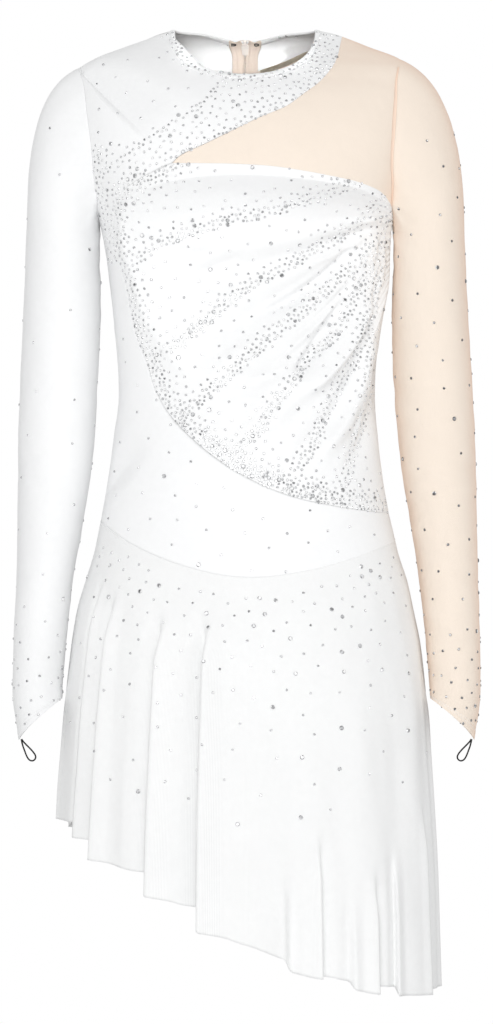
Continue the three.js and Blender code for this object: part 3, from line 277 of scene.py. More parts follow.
# Finger loops: the elastic's route from the cuff point: towards the body, back, and down.
LOOP_ROUTE = [
    (2.6, 1, 0.4), (4.2, 1, -2), (6.4, 0.9, -4.4), (8.6, 0.8, -6.6), (11, 0.6, -9), (13.4, 0.4, -11.6),
    (15.4, 0.3, -14.2), (16.6, 0.2, -16.8), (16.2, 0, -19.2), (14.4, -0.2, -20.9), (12.4, -0.4, -21.1),
    (10.4, -0.6, -20.2), (8.6, -0.7, -18), (7, -0.8, -14.6), (5.6, -0.9, -10.8), (4.2, -1, -7),
    (3.2, -1, -3.4), (2.4, -1, 0.4),
]

# Zip, with its tapes inside the back and its pull outside.
ZIP_TOP, ZIP_BOTTOM, SLIDER_MIDDLE = -9, -345, -11
TAPE_FROM, TAPE_WIDTH, TAPE_THICK, TAPE_UNDER = 1.5, 11.5, 0.9, 2.6
HOOK_X, HOOK_REACH, HOOK_WIDTH = -9.4, 4.8, 1.7
EYE_X, EYE_REACH, EYE_WIDTH = 9.6, 4.8, 2
WIRE_Z, WIRE_RADIUS, WIRE_GAP = -6.8, 0.55, 0.3
STRIP_WIDTH, STRIP_FROM, STRIP_TO, STRIP_UNDER = 5.5, 15.5, 70, 2.6


# ---- small tools
def mix(a, b, t):
    return a + (b - a) * t


def ease(t):
    t = np.clip(t, 0, 1)
    return t * t * (3 - 2 * t)


def xyz(x, y, z):
    return np.stack(np.broadcast_arrays(np.asarray(x, float), y, z), axis=-1)


def length_of(p):
    return np.linalg.norm(p, axis=-1)


def unit(p):
    return p / np.maximum(length_of(p), 1e-9)[..., None]


# ---- the body form
def half_width(rows, z):
    return np.maximum(20, rows.at("half", z))


def depth_of(rows, z, back):
    return np.maximum(4, np.where(back, rows.at("back", z), rows.at("front", z)))


def side_x(side, z):
    return BODY.at("shift", z) + side * half_width(BODY, z)


def profile(rows, x, z, back):
    u = np.minimum(1, np.abs(x - rows.at("shift", z)) / half_width(rows, z))
    return np.where(back, 1, -1) * depth_of(rows, z, back) * (1 - u ** SECTION_POWER) ** (1 / SECTION_POWER)


def level(p):
    """1 on the body form, less inside it."""
    u = np.abs(p[..., 0] - BODY.at("shift", p[..., 2])) / half_width(BODY, p[..., 2])
    v = np.abs(p[..., 1]) / depth_of(BODY, p[..., 2], p[..., 1] > 0)
    return (u ** SECTION_POWER + v ** SECTION_POWER) ** (1 / SECTION_POWER)


def gradient(p):
    step = 0.02
    ways = np.eye(3) * step
    return np.stack([(level(p + way) - level(p - way)) / (2 * step) for way in ways], axis=-1)


def on_body(p):
    for _ in range(7):
        slope = gradient(p)
        move = (1 - level(p)) / np.maximum(np.sum(slope ** 2, axis=-1), 1e-12)
        p = p + slope * np.clip(move, -200, 200)[..., None]
    return p


def body_normal(p):
    return unit(gradient(p))


def section_point(rows, angle, z, back):
    turn = np.radians(angle)
    bend = 2 / SECTION_POWER
    x = rows.at("shift", z) + half_width(rows, z) * np.sign(turn) * np.abs(np.sin(turn)) ** bend
    y = depth_of(rows, z, back) * np.abs(np.cos(turn)) ** bend
    return xyz(x, y if back else -y, z)


def front_point(x, z):
    return xyz(x, profile(BODY, x, z, False), z)


def back_point(x, z):
    return xyz(x, profile(BODY, x, z, True), z)


def side_point(side, z):
    return xyz(side_x(side, z), 0, z)


# ---- seam lines
def even(points):
    """A line by its length: gives the points at shares 0 to 1 of it."""
    run = np.concatenate([[0], np.cumsum(length_of(np.diff(points, axis=0)))])
    share = run / run[-1]

    def line(t):
        return np.stack([np.interp(t, share, points[:, k]) for k in range(points.shape[1])], axis=-1)

    return line


def chain(*parts):
    """Lines one after another, each with the share of the whole that its weight gives."""
    weights = np.array([weight for _, weight in parts], float)
    ends = np.cumsum(weights) / weights.sum()
    starts = ends - weights / weights.sum()

    def line(t):
        t = np.atleast_1d(np.asarray(t, float))
        result = np.empty(t.shape + (3,))
        which = np.clip(np.searchsorted(ends, t), 0, len(parts) - 1)
        for k, (part, _) in enumerate(parts):
            here = which == k
            result[here] = part((t[here] - starts[k]) / (ends[k] - starts[k]))
        return result

    return line


def turned(line):
    return lambda t: line(1 - np.asarray(t, float))


SMOOTH_STEPS = 24


def smooth_through(rows, steps=SMOOTH_STEPS):
    """A smooth line through a few points."""
    points = np.array(rows, float)
    padded = np.vstack([points[:1], points, points[-1:]])
    t = np.linspace(0, 1, steps, endpoint=False)[:, None]
    spans = []
    for before, start, end, after in zip(padded, padded[1:], padded[2:], padded[3:]):
        spans.append(hermite(t, start, end, (end - before) / 2, (after - start) / 2))
    return np.vstack([*spans, points[-1:]])


def seam(rows, face, start=None, end=None):
    inner = smooth_through(rows)
    points = face(inner[:, 0], inner[:, 1])
    ends = [part for part in (start, points, end) if part is not None]
    return even(np.vstack(ends))


def armhole(front_rows, back_rows, top, front_end, back_end):
    """The front and back halves of an armhole, which run smoothly over the shoulder."""
    front, back = front_point(*np.array(front_rows).T), back_point(*np.array(back_rows).T)
    ring = on_body(smooth_through(np.vstack([back[::-1], top, front])))
    middle = SMOOTH_STEPS * len(back)
    halves = []
    for half, end in ((ring[middle:], front_end), (ring[middle::-1], back_end)):
        halves.append(even(half if end is None else np.vstack([half, end])))
    return halves


def shoulder_z(x):
    """Height of the shoulder line at an x."""
    high, low = 0.0, -50.0
    for _ in range(40):
        middle = (high + low) / 2
        if abs(side_x(math.copysign(1, x), middle)) < abs(x):
            high = middle
        else:
            low = middle
    return (high + low) / 2


def shoulder(x0, x1):
    xs = np.linspace(x0, x1, 40)
    return even(xyz(xs, 0, np.array([shoulder_z(x) for x in xs])))


def side_seam(side, z0, z1):
    return even(side_point(side, np.linspace(z0, z1, 60)))


def waist_seam(rows, start, end, back):
    angle = np.linspace(start, end, 121)
    return even(section_point(BODY, angle, rows.at("z", angle), back))


def zip_edge(side, z0, z1):
    return even(back_point(side * ZIP_HALF_GAP, np.linspace(z0, z1, 80)))


def neck_line(side, back, lower):
    """Neck line of the front, or of one half of the back, 'lower' below the opening's edge."""
    half = NECK_HALF + lower * 0.95
    end_z = shoulder_z(half) if lower > 0 else 0
    if back:
        x = mix(ZIP_HALF_GAP, half, np.linspace(0, 1, 61))
        reach = np.minimum(1, x / (NECK_BACK_REACH + lower))
        dip = (NECK_BACK_DROP + lower + end_z) * (1 + np.cos(np.pi * reach)) / 2
        return even(back_point(side * x, np.minimum(-0.02, end_z - dip)))
    s = np.sin(np.linspace(1, -1, 61) * np.pi / 2)
    z = end_z - (NECK_DROP + lower + end_z) * (1 - np.abs(s) ** NECK_POWER) ** (1 / NECK_POWER)
    return even(front_point(NECK_HALF * s + lower * 0.95 * s, np.minimum(-0.02, z)))


# ---- soft relief
GATHER_HEIGHT, CREASE_HEIGHT = 1.45, 1.8
PLEATS, PLEAT_RISE = 23, 0.8
SMALL_OF_BACK = -372


def unevenness(p, size, seed):
    """Smooth hills and hollows between about -1 and 1, some 'size' millimetres across."""
    rng = np.random.default_rng(seed)
    total = np.zeros(p.shape[:-1])
    for _ in range(7):
        way = unit(rng.normal(size=3)) * (2 * np.pi / size) * rng.uniform(0.6, 1.5)
        total += np.sin(p @ way + rng.uniform(0, 2 * np.pi))
    return total / 3.2


def fold_height(p, folds, lead, tail):
    """Height of long folds that run from one point of the front to another."""
    total = np.zeros(p.shape[:-1])
    for fold in folds.records():
        dx, dz = fold["x1"] - fold["x0"], fold["z1"] - fold["z0"]
        length = math.hypot(dx, dz)
        t = ((p[..., 0] - fold["x0"]) * dx + (p[..., 2] - fold["z0"]) * dz) / length ** 2
        off = ((p[..., 0] - fold["x0"]) * dz - (p[..., 2] - fold["z0"]) * dx) / length
        away = (off - fold["bow"] * 4 * t * (1 - t)) / fold["spread"]
        total += fold["rise"] * ease(t * lead[0] + lead[1]) * ease((1 - t) * tail) * np.exp(-away * away)
    return total


def drape_lift(p, edge, u, v):
    """The gathered panel stands up from its seams, with pleats that fan out of the armpit."""
    folds = GATHER_HEIGHT * fold_height(p, GATHERS, (5, 0.3), 3.5)
    folds = folds + CREASE_HEIGHT * fold_height(p, CREASES, (4, 0), 4)
    from_armpit = np.exp(-v * 7) * ease(v * 22)
    pleats = np.sin(2 * np.pi * (PLEATS * u + 0.8 * np.sin(9 * u))) * from_armpit
    stand = PUFF * ease(edge / 45) + ease(edge / 15) * folds
    return stand + PLEAT_RISE * ease(edge / 5) * pleats + 0.12 * unevenness(p, 34, 11)


def body_lift(p, edge, u, v):
    """Faint drag lines of stretched cloth."""
    return ease(edge / 10) * (0.22 * unevenness(p, 46, 5) + 0.1 * unevenness(p, 19, 6))


def back_lift(p, edge, u, v):
    """The back is drawn in along the zip, with a few soft creases in the small of the back."""
    from_zip = np.abs(p[..., 0])
    waist = np.exp(-((p[..., 2] - SMALL_OF_BACK) / 46) ** 2)
    creases = np.sin((p[..., 2] + 0.28 * from_zip) / 6.4 + 0.9 * np.sin(p[..., 2] / 17))
    across = np.exp(-((from_zip - 44) / 34) ** 2)
    drag = np.sin(p[..., 2] / 4.2 + np.sin(p[..., 2] / 23)) * np.exp(-from_zip / 12)
    return (body_lift(p, edge, u, v) + ease(edge / 8) * (0.7 * waist * across * creases)
            + 0.22 * ease(edge / 2.5) * drag)


# ---- meshes
def shares(length, spacing):
    """Shares from 0 to 1 of a length, close together at both ends, where the cloth rolls in."""
    steps = np.array([PANEL_INSET, *SEAM_STEPS]) / length
    near, rim = steps[:-1], steps[-1]
    middle = np.linspace(rim, 1 - rim, max(3, round(length / spacing)))
    return np.concatenate([near, middle, 1 - near[::-1]])


def span(line):
    return float(np.sum(length_of(np.diff(line(np.linspace(0, 1, 300)), axis=0))))


def filled(sides, u, v):
    """A grid that fills four seam lines: the top and bottom run alike, and so do left and right."""
    top, bottom, left, right = sides
    ends = np.array([0.0, 1.0])
    corners_top, corners_bottom = top(ends), bottom(ends)
    across, down = u[None, :, None], v[:, None, None]
    grid = (1 - down) * top(u)[None] + down * bottom(u)[None]
    grid = grid + (1 - across) * left(v)[:, None] + across * right(v)[:, None]
    grid = grid - (1 - down) * ((1 - across) * corners_top[0] + across * corners_top[1])
    return grid - down * ((1 - across) * corners_bottom[0] + across * corners_bottom[1])


def running(points, axis):
    """Distance along a grid's lines from where they start."""
    steps = length_of(np.diff(points, axis=axis))
    return np.concatenate([np.zeros_like(steps.take([0], axis)), np.cumsum(steps, axis)], axis)


def to_edges(points):
    across, down = running(points, 1), running(points, 0)
    return PANEL_INSET + np.minimum.reduce([across, across[:, -1:] - across, down, down[-1:] - down])


def grid_normals(points, outward, wrap=False):
    """Normals of a grid, on the side that 'outward' looks to."""
    ring = np.concatenate([points[:, -2:-1], points, points[:, 1:2]], axis=1) if wrap else points
    across = np.gradient(ring, axis=1)
    if wrap:
        across = across[:, 1:-1]
    normals = unit(np.cross(across, np.gradient(points, axis=0)))
    return normals * np.sign(np.sum(normals * outward))


def mesh_from(bm, name):
    mesh = bpy.data.meshes.new(name)
    bm.to_mesh(mesh)
    bm.free()
    return mesh


def cloth_mesh(name, points, outward, place, wrap=False):
    """A sheet of quads through a grid of points, with a map that says where on the cloth each one is."""
    rows, columns = points.shape[:2]
    bm = bmesh.new()
    bm.loops.layers.uv.new("cloth")
    bmesh.ops.create_grid(bm, x_segments=columns - 1, y_segments=rows - 1, size=1, calc_uvs=True)
    mesh = mesh_from(bm, name)
    flat = np.empty(len(mesh.vertices) * 3)
    mesh.vertices.foreach_get("co", flat)
    flat = flat.reshape(-1, 3)
    column = np.rint((flat[:, 0] + 1) / 2 * (columns - 1)).astype(int)
    row = np.rint((flat[:, 1] + 1) / 2 * (rows - 1)).astype(int)
    mesh.vertices.foreach_set("co", (points[row, column] * MM).ravel())
    corner = np.empty(len(mesh.loops), np.int32)
    mesh.loops.foreach_get("vertex_index", corner)
    mesh.uv_layers["cloth"].data.foreach_set("uv", place[row, column][corner].astype(np.float32).ravel())
    mesh.update()
    facing = np.empty(len(mesh.polygons) * 3)
    mesh.polygons.foreach_get("normal", facing)
    first = corner[::4]
    if np.sum(facing.reshape(-1, 3) * outward[row, column][first]) < 0:
        mesh.flip_normals()
    if wrap:
        weld(mesh)
    return mesh


def weld(mesh):
    bm = bmesh.new()
    bm.from_mesh(mesh)
    bmesh.ops.remove_doubles(bm, verts=bm.verts, dist=1e-7)
    bm.to_mesh(mesh)
    bm.free()


def new_object(name, mesh, material, thickness=0.0, smooth=True):
    mesh.materials.append(bpy.data.materials[material])
    if smooth:
        mesh.shade_smooth()
    piece = bpy.data.objects.new(name, mesh)
    bpy.context.scene.collection.objects.link(piece)
    if thickness:
        wall = piece.modifiers.new("thickness", "SOLIDIFY")
        wall.thickness = thickness
        wall.offset = -1
    return piece


def settle(piece, body, slot, *nodes):
    """The piece moves with a body and stands for its plain solids, which are hidden; its slot is not used."""
    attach(piece, body)
    if nodes:
        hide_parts(*nodes)


def wrapped_place(points):
    """Where a point of the bodice lies on the cloth: round the body, and down it."""
    around = np.arctan2(points[..., 0], np.abs(points[..., 1]) + UNROLL_DEPTH) * UNROLL_RADIUS
    return np.stack([around, points[..., 2]], axis=-1)


def panel_grid(sides, spacing, lift):
    """A panel of the bodice, on the body form between its four seam lines."""
    across = (span(sides[0]) + span(sides[1])) / 2
    down = (span(sides[2]) + span(sides[3])) / 2
    u, v = shares(across, spacing[0]), shares(down, spacing[1])
    form = on_body(filled(sides, u, v))
    normals = body_normal(form)
    edge = to_edges(form)
    rise = lift(form, edge, u[None, :], v[:, None]) - SEAM_SINK * np.exp(-(edge / SEAM_ROLL) ** 2)
    points = form + normals * rise[..., None]
    return points, normals, wrapped_place(points)


def cloth_piece(node, grid, slot, thickness, wrap=False):
    """A cut piece of cloth for a plain solid, from its points, which way is out and its flat places."""
    mesh = cloth_mesh(node + "_cloth", *grid, wrap)
    piece = new_object(node + "_cloth", mesh, FINISH_OF[slot], thickness * MM)
    settle(piece, BODY_NAME, slot, node)


def tube(name, route, radius, material):
    """A round cord or wire along a smooth line, with closed ends."""
    line = even(smooth_through(route, 12))
    total = span(line)
    count = max(8, round(total / (radius * 0.9)))
    centre = line(np.linspace(0, 1, count + 1))
    along = unit(np.gradient(centre, axis=0))
    side = np.cross(along[0], (0, 1, 0) if abs(along[0][1]) < 0.8 else (1, 0, 0))
    turn = np.linspace(0, 2 * np.pi, TUBE_SIDES + 1)[:, None]
    rings = []
    for middle, way in zip(centre, along):
        side = unit(side - way * np.dot(side, way))
        rings.append(middle + radius * (np.cos(turn) * side + np.sin(turn) * np.cross(way, side)))
    points = np.array(rings)
    place = np.stack(np.broadcast_arrays(radius * turn.T, np.linspace(0, total, count + 1)[:, None]), axis=-1)
    mesh = cloth_mesh(name, points, points - centre[:, None], place, wrap=True)
    close_ends(mesh)
    return new_object(name, mesh, material), centre, total


def close_ends(mesh):
    bm = bmesh.new()
    bm.from_mesh(mesh)
    rims = [edge for edge in bm.edges if edge.is_boundary]
    bmesh.ops.holes_fill(bm, edges=rims, sides=0)
    bmesh.ops.recalc_face_normals(bm, faces=bm.faces)
    bm.to_mesh(mesh)
    bm.free()


def repeated(name, shape, places, material, painted_glint=None):
    """One joined mesh of a small shape, set at every place (an origin and three axes)."""
    shape.verts.index_update()
    corners = np.array([vertex.co for vertex in shape.verts])
    faces = [[vertex.index for vertex in face.verts] for face in shape.faces]
    every = np.einsum("nij,kj->nki", places[:, :, 1:], corners) + places[:, None, :, 0]
    joined = [[k + n * len(corners) for k in face] for n in range(len(places)) for face in faces]
    mesh = bpy.data.meshes.new(name)
    mesh.from_pydata((every.reshape(-1, 3) * MM).tolist(), [], joined)
    # per-face values of the stones' painted reflection and painted glints
    if painted_glint is not None:
        layer = mesh.attributes.new("painted_glint", "FLOAT", "FACE")
        layer.data.foreach_set("value", painted_glint(len(places), faces).astype(np.float32).ravel())
    mesh.update()
    piece = new_object(name, mesh, material, smooth=painted_glint is None)
    shape.free()
    return piece


def places_from(origin, along, outward, scale=1.0):
    """Places with X along a line, Z outwards and Y across."""
    z = unit(outward)
    x = unit(along - z * np.sum(along * z, axis=-1, keepdims=True))
    y = np.cross(z, x)
    scale = np.broadcast_to(scale, origin.shape[:1])[:, None]
    return np.stack([origin, x * scale, y * scale, z * scale], axis=-1)


# ---- shader groups
class Tree:
    """A node tree with short ways to add nodes and join them."""

    def __init__(self, tree):
        self.tree = tree

    def add(self, kind, settings=None, **inputs):
        node = self.tree.nodes.new(kind)
        for name, value in (settings or {}).items():
            setattr(node, name, value)
        for name, value in inputs.items():
            key = int(name[1:]) if name[0] == "_" else name.replace("_", " ")
            self.feed(node.inputs[key], value)
        return node

    def feed(self, socket, value):
        if isinstance(value, bpy.types.NodeSocket):
            self.tree.links.new(value, socket)
        else:
            socket.default_value = value

    def math(self, operation, first, second=0.0, third=0.0):
        node = self.add("ShaderNodeMath", {"operation": operation}, _0=first, _1=second, _2=third)
        return node.outputs[0]

    def between(self, value, low, high, to_low=0.0, to_high=1.0):
        node = self.add("ShaderNodeMapRange", {"interpolation_type": "SMOOTHSTEP"}, Value=value, From_Min=low,
                        From_Max=high, To_Min=to_low, To_Max=to_high)
        return node.outputs["Result"]

    def blend(self, factor, first, second):
        node = self.add("ShaderNodeMix", {"data_type": "RGBA"}, Factor=factor)
        self.feed(node.inputs[6], first)
        self.feed(node.inputs[7], second)
        return node.outputs[2]


def shader_group(name, inputs, outputs):
    """A shader node group with named number and vector inputs and number outputs."""
    tree = bpy.data.node_groups.new(name, "ShaderNodeTree")
    for label, value in inputs.items():
        kind = "NodeSocketVector" if value is None else "NodeSocketFloat"
        socket = tree.interface.new_socket(label, in_out="INPUT", socket_type=kind)
        if value is not None:
            socket.default_value = value
    for label in outputs:
        tree.interface.new_socket(label, in_out="OUTPUT", socket_type="NodeSocketFloat")
    return Tree(tree), tree.nodes.new("NodeGroupInput").outputs, tree.nodes.new("NodeGroupOutput").inputs


def knit_group():
    """Columns of small V-shaped loops, as on the face of a fine jersey."""
    tree, given, result = shader_group("Knit loops", {"Place": None, "Wale": 0.7, "Course": 0.55}, ["Height"])
    place = tree.add("ShaderNodeSeparateXYZ", _0=given["Place"]).outputs
    x = tree.math("DIVIDE", place[0], given["Wale"])
    y = tree.math("DIVIDE", place[1], given["Course"])
    wale = tree.math("ABSOLUTE", tree.math("SINE", tree.math("MULTIPLY", x, math.pi)))
    slant = tree.math("ADD", y, tree.math("MULTIPLY", wale, 0.6))
    course = tree.math("SINE", tree.math("MULTIPLY", slant, 2 * math.pi))
    height = tree.math("MULTIPLY_ADD", course, 0.3, tree.math("MULTIPLY", wale, 0.7))
    tree.feed(result["Height"], height)


def net_group():
    """The threads of a fine six-sided net: 1 on a thread, 0 in a hole."""
    tree, given, result = shader_group("Net threads", {"Place": None, "Pitch": 0.9}, ["Thread"])
    place = tree.add("ShaderNodeSeparateXYZ", _0=given["Place"]).outputs
    x = tree.math("DIVIDE", place[0], given["Pitch"])
    y = tree.math("DIVIDE", place[1], given["Pitch"])
    waves = []
    for turn in (0, 120, 240):
        way = math.radians(turn)
        along = tree.math("MULTIPLY_ADD", x, math.cos(way), tree.math("MULTIPLY", y, math.sin(way)))
        waves.append(tree.math("COSINE", tree.math("MULTIPLY", along, 2 * math.pi)))
    total = tree.math("ADD", tree.math("ADD", waves[0], waves[1]), waves[2])
    tree.feed(result["Thread"], tree.between(total, 1.2, 0.1))


def tone_group():
    """Slow changes of tone over the cloth."""
    tree, given, result = shader_group("Cloth tone", {"Place": None, "Size": 9.0, "Fine": 160.0}, ["Tone"])
    slow = tree.add("ShaderNodeTexNoise", Vector=given["Place"], Scale=given["Size"], Detail=3.0)
    fine = tree.add("ShaderNodeTexNoise", Vector=given["Place"], Scale=given["Fine"], Detail=2.0)
    tone = tree.math("MULTIPLY_ADD", fine.outputs[0], 0.35, tree.math("MULTIPLY", slow.outputs[0], 0.65))
    tree.feed(result["Tone"], tree.between(tone, 0.3, 0.7))


def rib_group():
    """Slanting threads or twill ribs at an even pitch."""
    inputs = {"Place": None, "Pitch": 0.8, "Slant": 0.5}
    tree, given, result = shader_group("Slanting ribs", inputs, ["Height"])
    place = tree.add("ShaderNodeSeparateXYZ", _0=given["Place"]).outputs
    along = tree.math("MULTIPLY_ADD", place[0], given["Slant"], place[1])
    turn = tree.math("MULTIPLY", tree.math("DIVIDE", along, given["Pitch"]), 2 * math.pi)
    tree.feed(result["Height"], tree.math("MULTIPLY_ADD", tree.math("SINE", turn), 0.5, 0.5))


class Finish:
    """One material: a Principled surface with cloth and object coordinates at hand."""

    def __init__(self, name, **values):
        self.material = bpy.data.materials.new(name)
        self.material.use_nodes = True
        self.tree = Tree(self.material.node_tree)
        self.surface = self.material.node_tree.nodes["Principled BSDF"]
        self.cloth = self.tree.add("ShaderNodeUVMap", {"uv_map": "cloth"}).outputs["UV"]
        self.place = self.tree.add("ShaderNodeTexCoord").outputs["Object"]
        for socket, value in values.items():
            self.set(socket.replace("_", " "), value)

    def set(self, socket, value):
        self.tree.feed(self.surface.inputs[socket], value)

    def pattern(self, group, **inputs):
        settings = {"node_tree": bpy.data.node_groups[group]}
        return self.tree.add("ShaderNodeGroup", settings, **inputs).outputs[0]

    def tone(self, light, dark, size=9.0, fine=160.0):
        """Base colour between two near tones."""
        share = self.pattern("Cloth tone", Place=self.place, Size=size, Fine=fine)
        self.set("Base Color", self.tree.blend(share, (*dark, 1), (*light, 1)))

    def relief(self, height, strength, distance):
        bump = self.tree.add("ShaderNodeBump", Height=height, Strength=strength, Distance=distance)
        self.set("Normal", bump.outputs["Normal"])


def shade(colour, factor):
    return tuple(min(1, channel * factor) for channel in colour)


def white_stretch(colour):
    finish = Finish("white_jersey", Roughness=0.58, Sheen_Weight=0.25, Sheen_Roughness=0.4,
                    Specular_IOR_Level=0.35)
    finish.tone(colour, shade(colour, 0.97))
    loops = finish.pattern("Knit loops", Place=finish.cloth, Wale=0.62, Course=0.5)
    finish.relief(loops, 0.28, 0.0002)


def net_finish(name, colour, edge_colour, pitch, open_share):
    """Fine net, whose threads close up and deepen in colour where it turns away."""
    finish = Finish(name, Roughness=0.66, Specular_IOR_Level=0.25)
    facing = finish.tree.add("ShaderNodeLayerWeight", Blend=0.35).outputs["Facing"]
    share = finish.pattern("Cloth tone", Place=finish.place, Size=9.0, Fine=160.0)
    plain = finish.tree.blend(share, (*shade(colour, 0.965), 1), (*colour, 1))
    turned_away = finish.tree.between(facing, 0.14, 0.8)
    finish.set("Base Color", finish.tree.blend(turned_away, plain, (*edge_colour, 1)))
    threads = finish.pattern("Net threads", Place=finish.cloth, Pitch=pitch)
    closed = finish.tree.math("MAXIMUM", threads, turned_away)
    finish.set("Alpha", finish.tree.between(closed, 0, 1, 1 - open_share, 1.0))
    finish.relief(threads, 0.3, 0.0002)


def tape_finish(colour):
    finish = Finish("woven_tape", Roughness=0.8, Sheen_Weight=0.1, Specular_IOR_Level=0.2)
    finish.tone(colour, shade(colour, 0.93), 30, 300)
    ribs = finish.pattern("Slanting ribs", Place=finish.cloth, Pitch=0.9, Slant=0.9)
    finish.relief(ribs, 0.5, 0.0003)


def overlock_finish(colour):
    finish = Finish("overlock_thread", Roughness=0.85, Specular_IOR_Level=0.2)
    finish.tone(colour, shade(colour, 0.72), 90, 600)
    ribs = finish.pattern("Slanting ribs", Place=finish.cloth, Pitch=0.55, Slant=3.0)
    finish.relief(ribs, 0.7, 0.0004)


def thread_finish(name, colour, roughness):
    finish = Finish(name, Roughness=roughness, Sheen_Weight=0.15, Specular_IOR_Level=0.3)
    finish.tone(colour, shade(colour, 0.85), 60, 500)
    ribs = finish.pattern("Slanting ribs", Place=finish.cloth, Pitch=0.5, Slant=0.8)
    finish.relief(ribs, 0.6, 0.0002)


def painted_metal(name, colour, roughness, metallic):
    finish = Finish(name, Metallic=metallic, Coat_Weight=0.4, Coat_Roughness=0.15)
    finish.tone(colour, shade(colour, 0.9), 120, 900)
    grain = finish.pattern("Cloth tone", Place=finish.place, Size=400.0, Fine=2400.0)
    finish.set("Roughness", finish.tree.between(grain, 0, 1, roughness - 0.06, roughness + 0.08))
    finish.relief(grain, 0.06, 0.0001)


def crystal_finish():
    """Cut glass with a foiled back, whose reflection is painted: each facet's base colour is a painted light
    or dark reflection, set by its painted glint value.
    """
    finish = Finish("cut_glass", Metallic=0.2, Roughness=0.12, Coat_Weight=1.0, Coat_Roughness=0.03)
    painted_glint = finish.tree.add("ShaderNodeAttribute", {"attribute_name": "painted_glint"}).outputs["Fac"]
    # painted reflection and painted glints: facets from near black through greys to white
    ramp = finish.tree.add("ShaderNodeValToRGB", Fac=painted_glint)
    stops = ramp.color_ramp.elements
    stops[0].position, stops[0].color = 0, (0.07, 0.07, 0.075, 1)
    stops[1].position, stops[1].color = 1, (1, 1, 1, 1)
    for position, value in ((0.2, 0.36), (0.55, 0.72)):
        stops.new(position).color = (value, value * 1.01, value * 1.03, 1)
    finish.set("Base Color", ramp.outputs["Color"])


def floor_finish(colour):
    finish = Finish("floor", Roughness=0.7)
    finish.tone(colour, shade(colour, 0.985), 1.5, 20)


# ---- the bodice
def corner(point):
    return on_body(np.array([point], float))


def bodice_seams():
    """Every seam line of the bodice, by name."""
    lines = {}
    shoulder_right, shoulder_left = corner(SHOULDER_RIGHT), corner(SHOULDER_LEFT)
    underarm_right, underarm_left = side_point(-1, np.array([UNDERARM])), side_point(1, np.array([UNDERARM]))
    band_end = xyz([BAND_AT_SHOULDER], 0, shoulder_z(BAND_AT_SHOULDER))
    drape_foot = side_point(1, np.array([DRAPE_FOOT]))
    waist_right, waist_left = WAIST_SEAM_FRONT.at("z", -SIDE_ANGLE), WAIST_SEAM_FRONT.at("z", SIDE_ANGLE)
    back_middle = float(WAIST_SEAM_BACK.at("z", 0))
    zip_angle = math.degrees(math.asin((ZIP_HALF_GAP / side_x(1, back_middle)) ** (SECTION_POWER / 2)))
    lines["neck_front"] = neck_line(1, False, NECK_BINDING)
    lines["neck_back_right"] = neck_line(-1, True, NECK_BINDING)
    lines["neck_back_left"] = neck_line(1, True, NECK_BINDING)
    ends = np.array([0.0, 1.0])
    neck_left, neck_right = lines["neck_front"](ends)
    lines["sash"] = seam(SASH_EDGE, front_point, start=band_end)
    lines["drape_top"] = seam(DRAPE_TOP, front_point)
    lines["armhole_front_right"], lines["armhole_back_right"] = armhole(
        ARMHOLE_FRONT_RIGHT, ARMHOLE_BACK_RIGHT, shoulder_right, underarm_right, underarm_right)
    lines["armhole_net"], lines["armhole_back_left"] = armhole(
        ARMHOLE_FRONT_LEFT, ARMHOLE_BACK_LEFT, shoulder_left, None, underarm_left)
    corner_z = ARMHOLE_FRONT_LEFT[-1]
    under = xyz([corner_z[0], 147.2], 0, [corner_z[1], UNDERARM])
    lines["armhole_drape"] = even(np.vstack([front_point(under[:1, 0], under[:1, 2]), underarm_left]))
    edge = smooth_through(DRAPE_EDGE)
    edge = np.vstack([front_point(edge[:, 0], edge[:, 1]), drape_foot])
    cuts = [int(np.argmax(edge[:, 2] < height)) for height in DRAPE_STRETCHES]
    lines["drape_armhole"] = even(edge[:cuts[0] + 1])
    lines["drape_side"] = even(edge[cuts[0]:cuts[1] + 1])
    lines["drape_waist"] = even(edge[cuts[1]:])
    lines["waist_front"] = waist_seam(WAIST_SEAM_FRONT, -SIDE_ANGLE, SIDE_ANGLE, False)
    lines["waist_back_right"] = waist_seam(WAIST_SEAM_BACK, -zip_angle, -SIDE_ANGLE, True)
    lines["waist_back_left"] = waist_seam(WAIST_SEAM_BACK, zip_angle, SIDE_ANGLE, True)
    lines["shoulder_right"] = shoulder(neck_right[0], shoulder_right[0, 0])
    lines["shoulder_net"] = shoulder(band_end[0, 0], shoulder_left[0, 0])
    lines["band_shoulder"] = shoulder(neck_left[0], band_end[0, 0])
    lines["side_right"] = side_seam(-1, UNDERARM, waist_right)
    lines["side_left"] = side_seam(1, UNDERARM, waist_left)
    lines["side_under_drape"] = side_seam(1, waist_left, DRAPE_FOOT)
    lines["side_gathered"] = side_seam(1, UNDERARM, GATHERED_TO)
    lines["side_of_drape"] = side_seam(1, GATHERED_TO, DRAPE_FOOT)
    centre = back_point(np.array([ZIP_HALF_GAP]), np.array([BAND_SEAM_CENTRE]))
    lines["band_back"] = seam(BAND_SEAM_BACK, back_point, centre, band_end)
    centre = back_point(np.array([ZIP_HALF_GAP]), np.array([NET_EDGE_CENTRE]))
    lines["net_back"] = seam(NET_EDGE_BACK, back_point, centre, underarm_left)
    tops = {side: lines[name](ends)[0, 2] for side, name in ((-1, "neck_back_right"), (1, "neck_back_left"))}
    lines["zip_right"] = zip_edge(-1, tops[-1], back_middle)
    lines["zip_band"] = zip_edge(1, tops[1], BAND_SEAM_CENTRE)
    lines["zip_net"] = zip_edge(1, BAND_SEAM_CENTRE, NET_EDGE_CENTRE)
    lines["zip_lower"] = zip_edge(1, NET_EDGE_CENTRE, back_middle)
    return lines


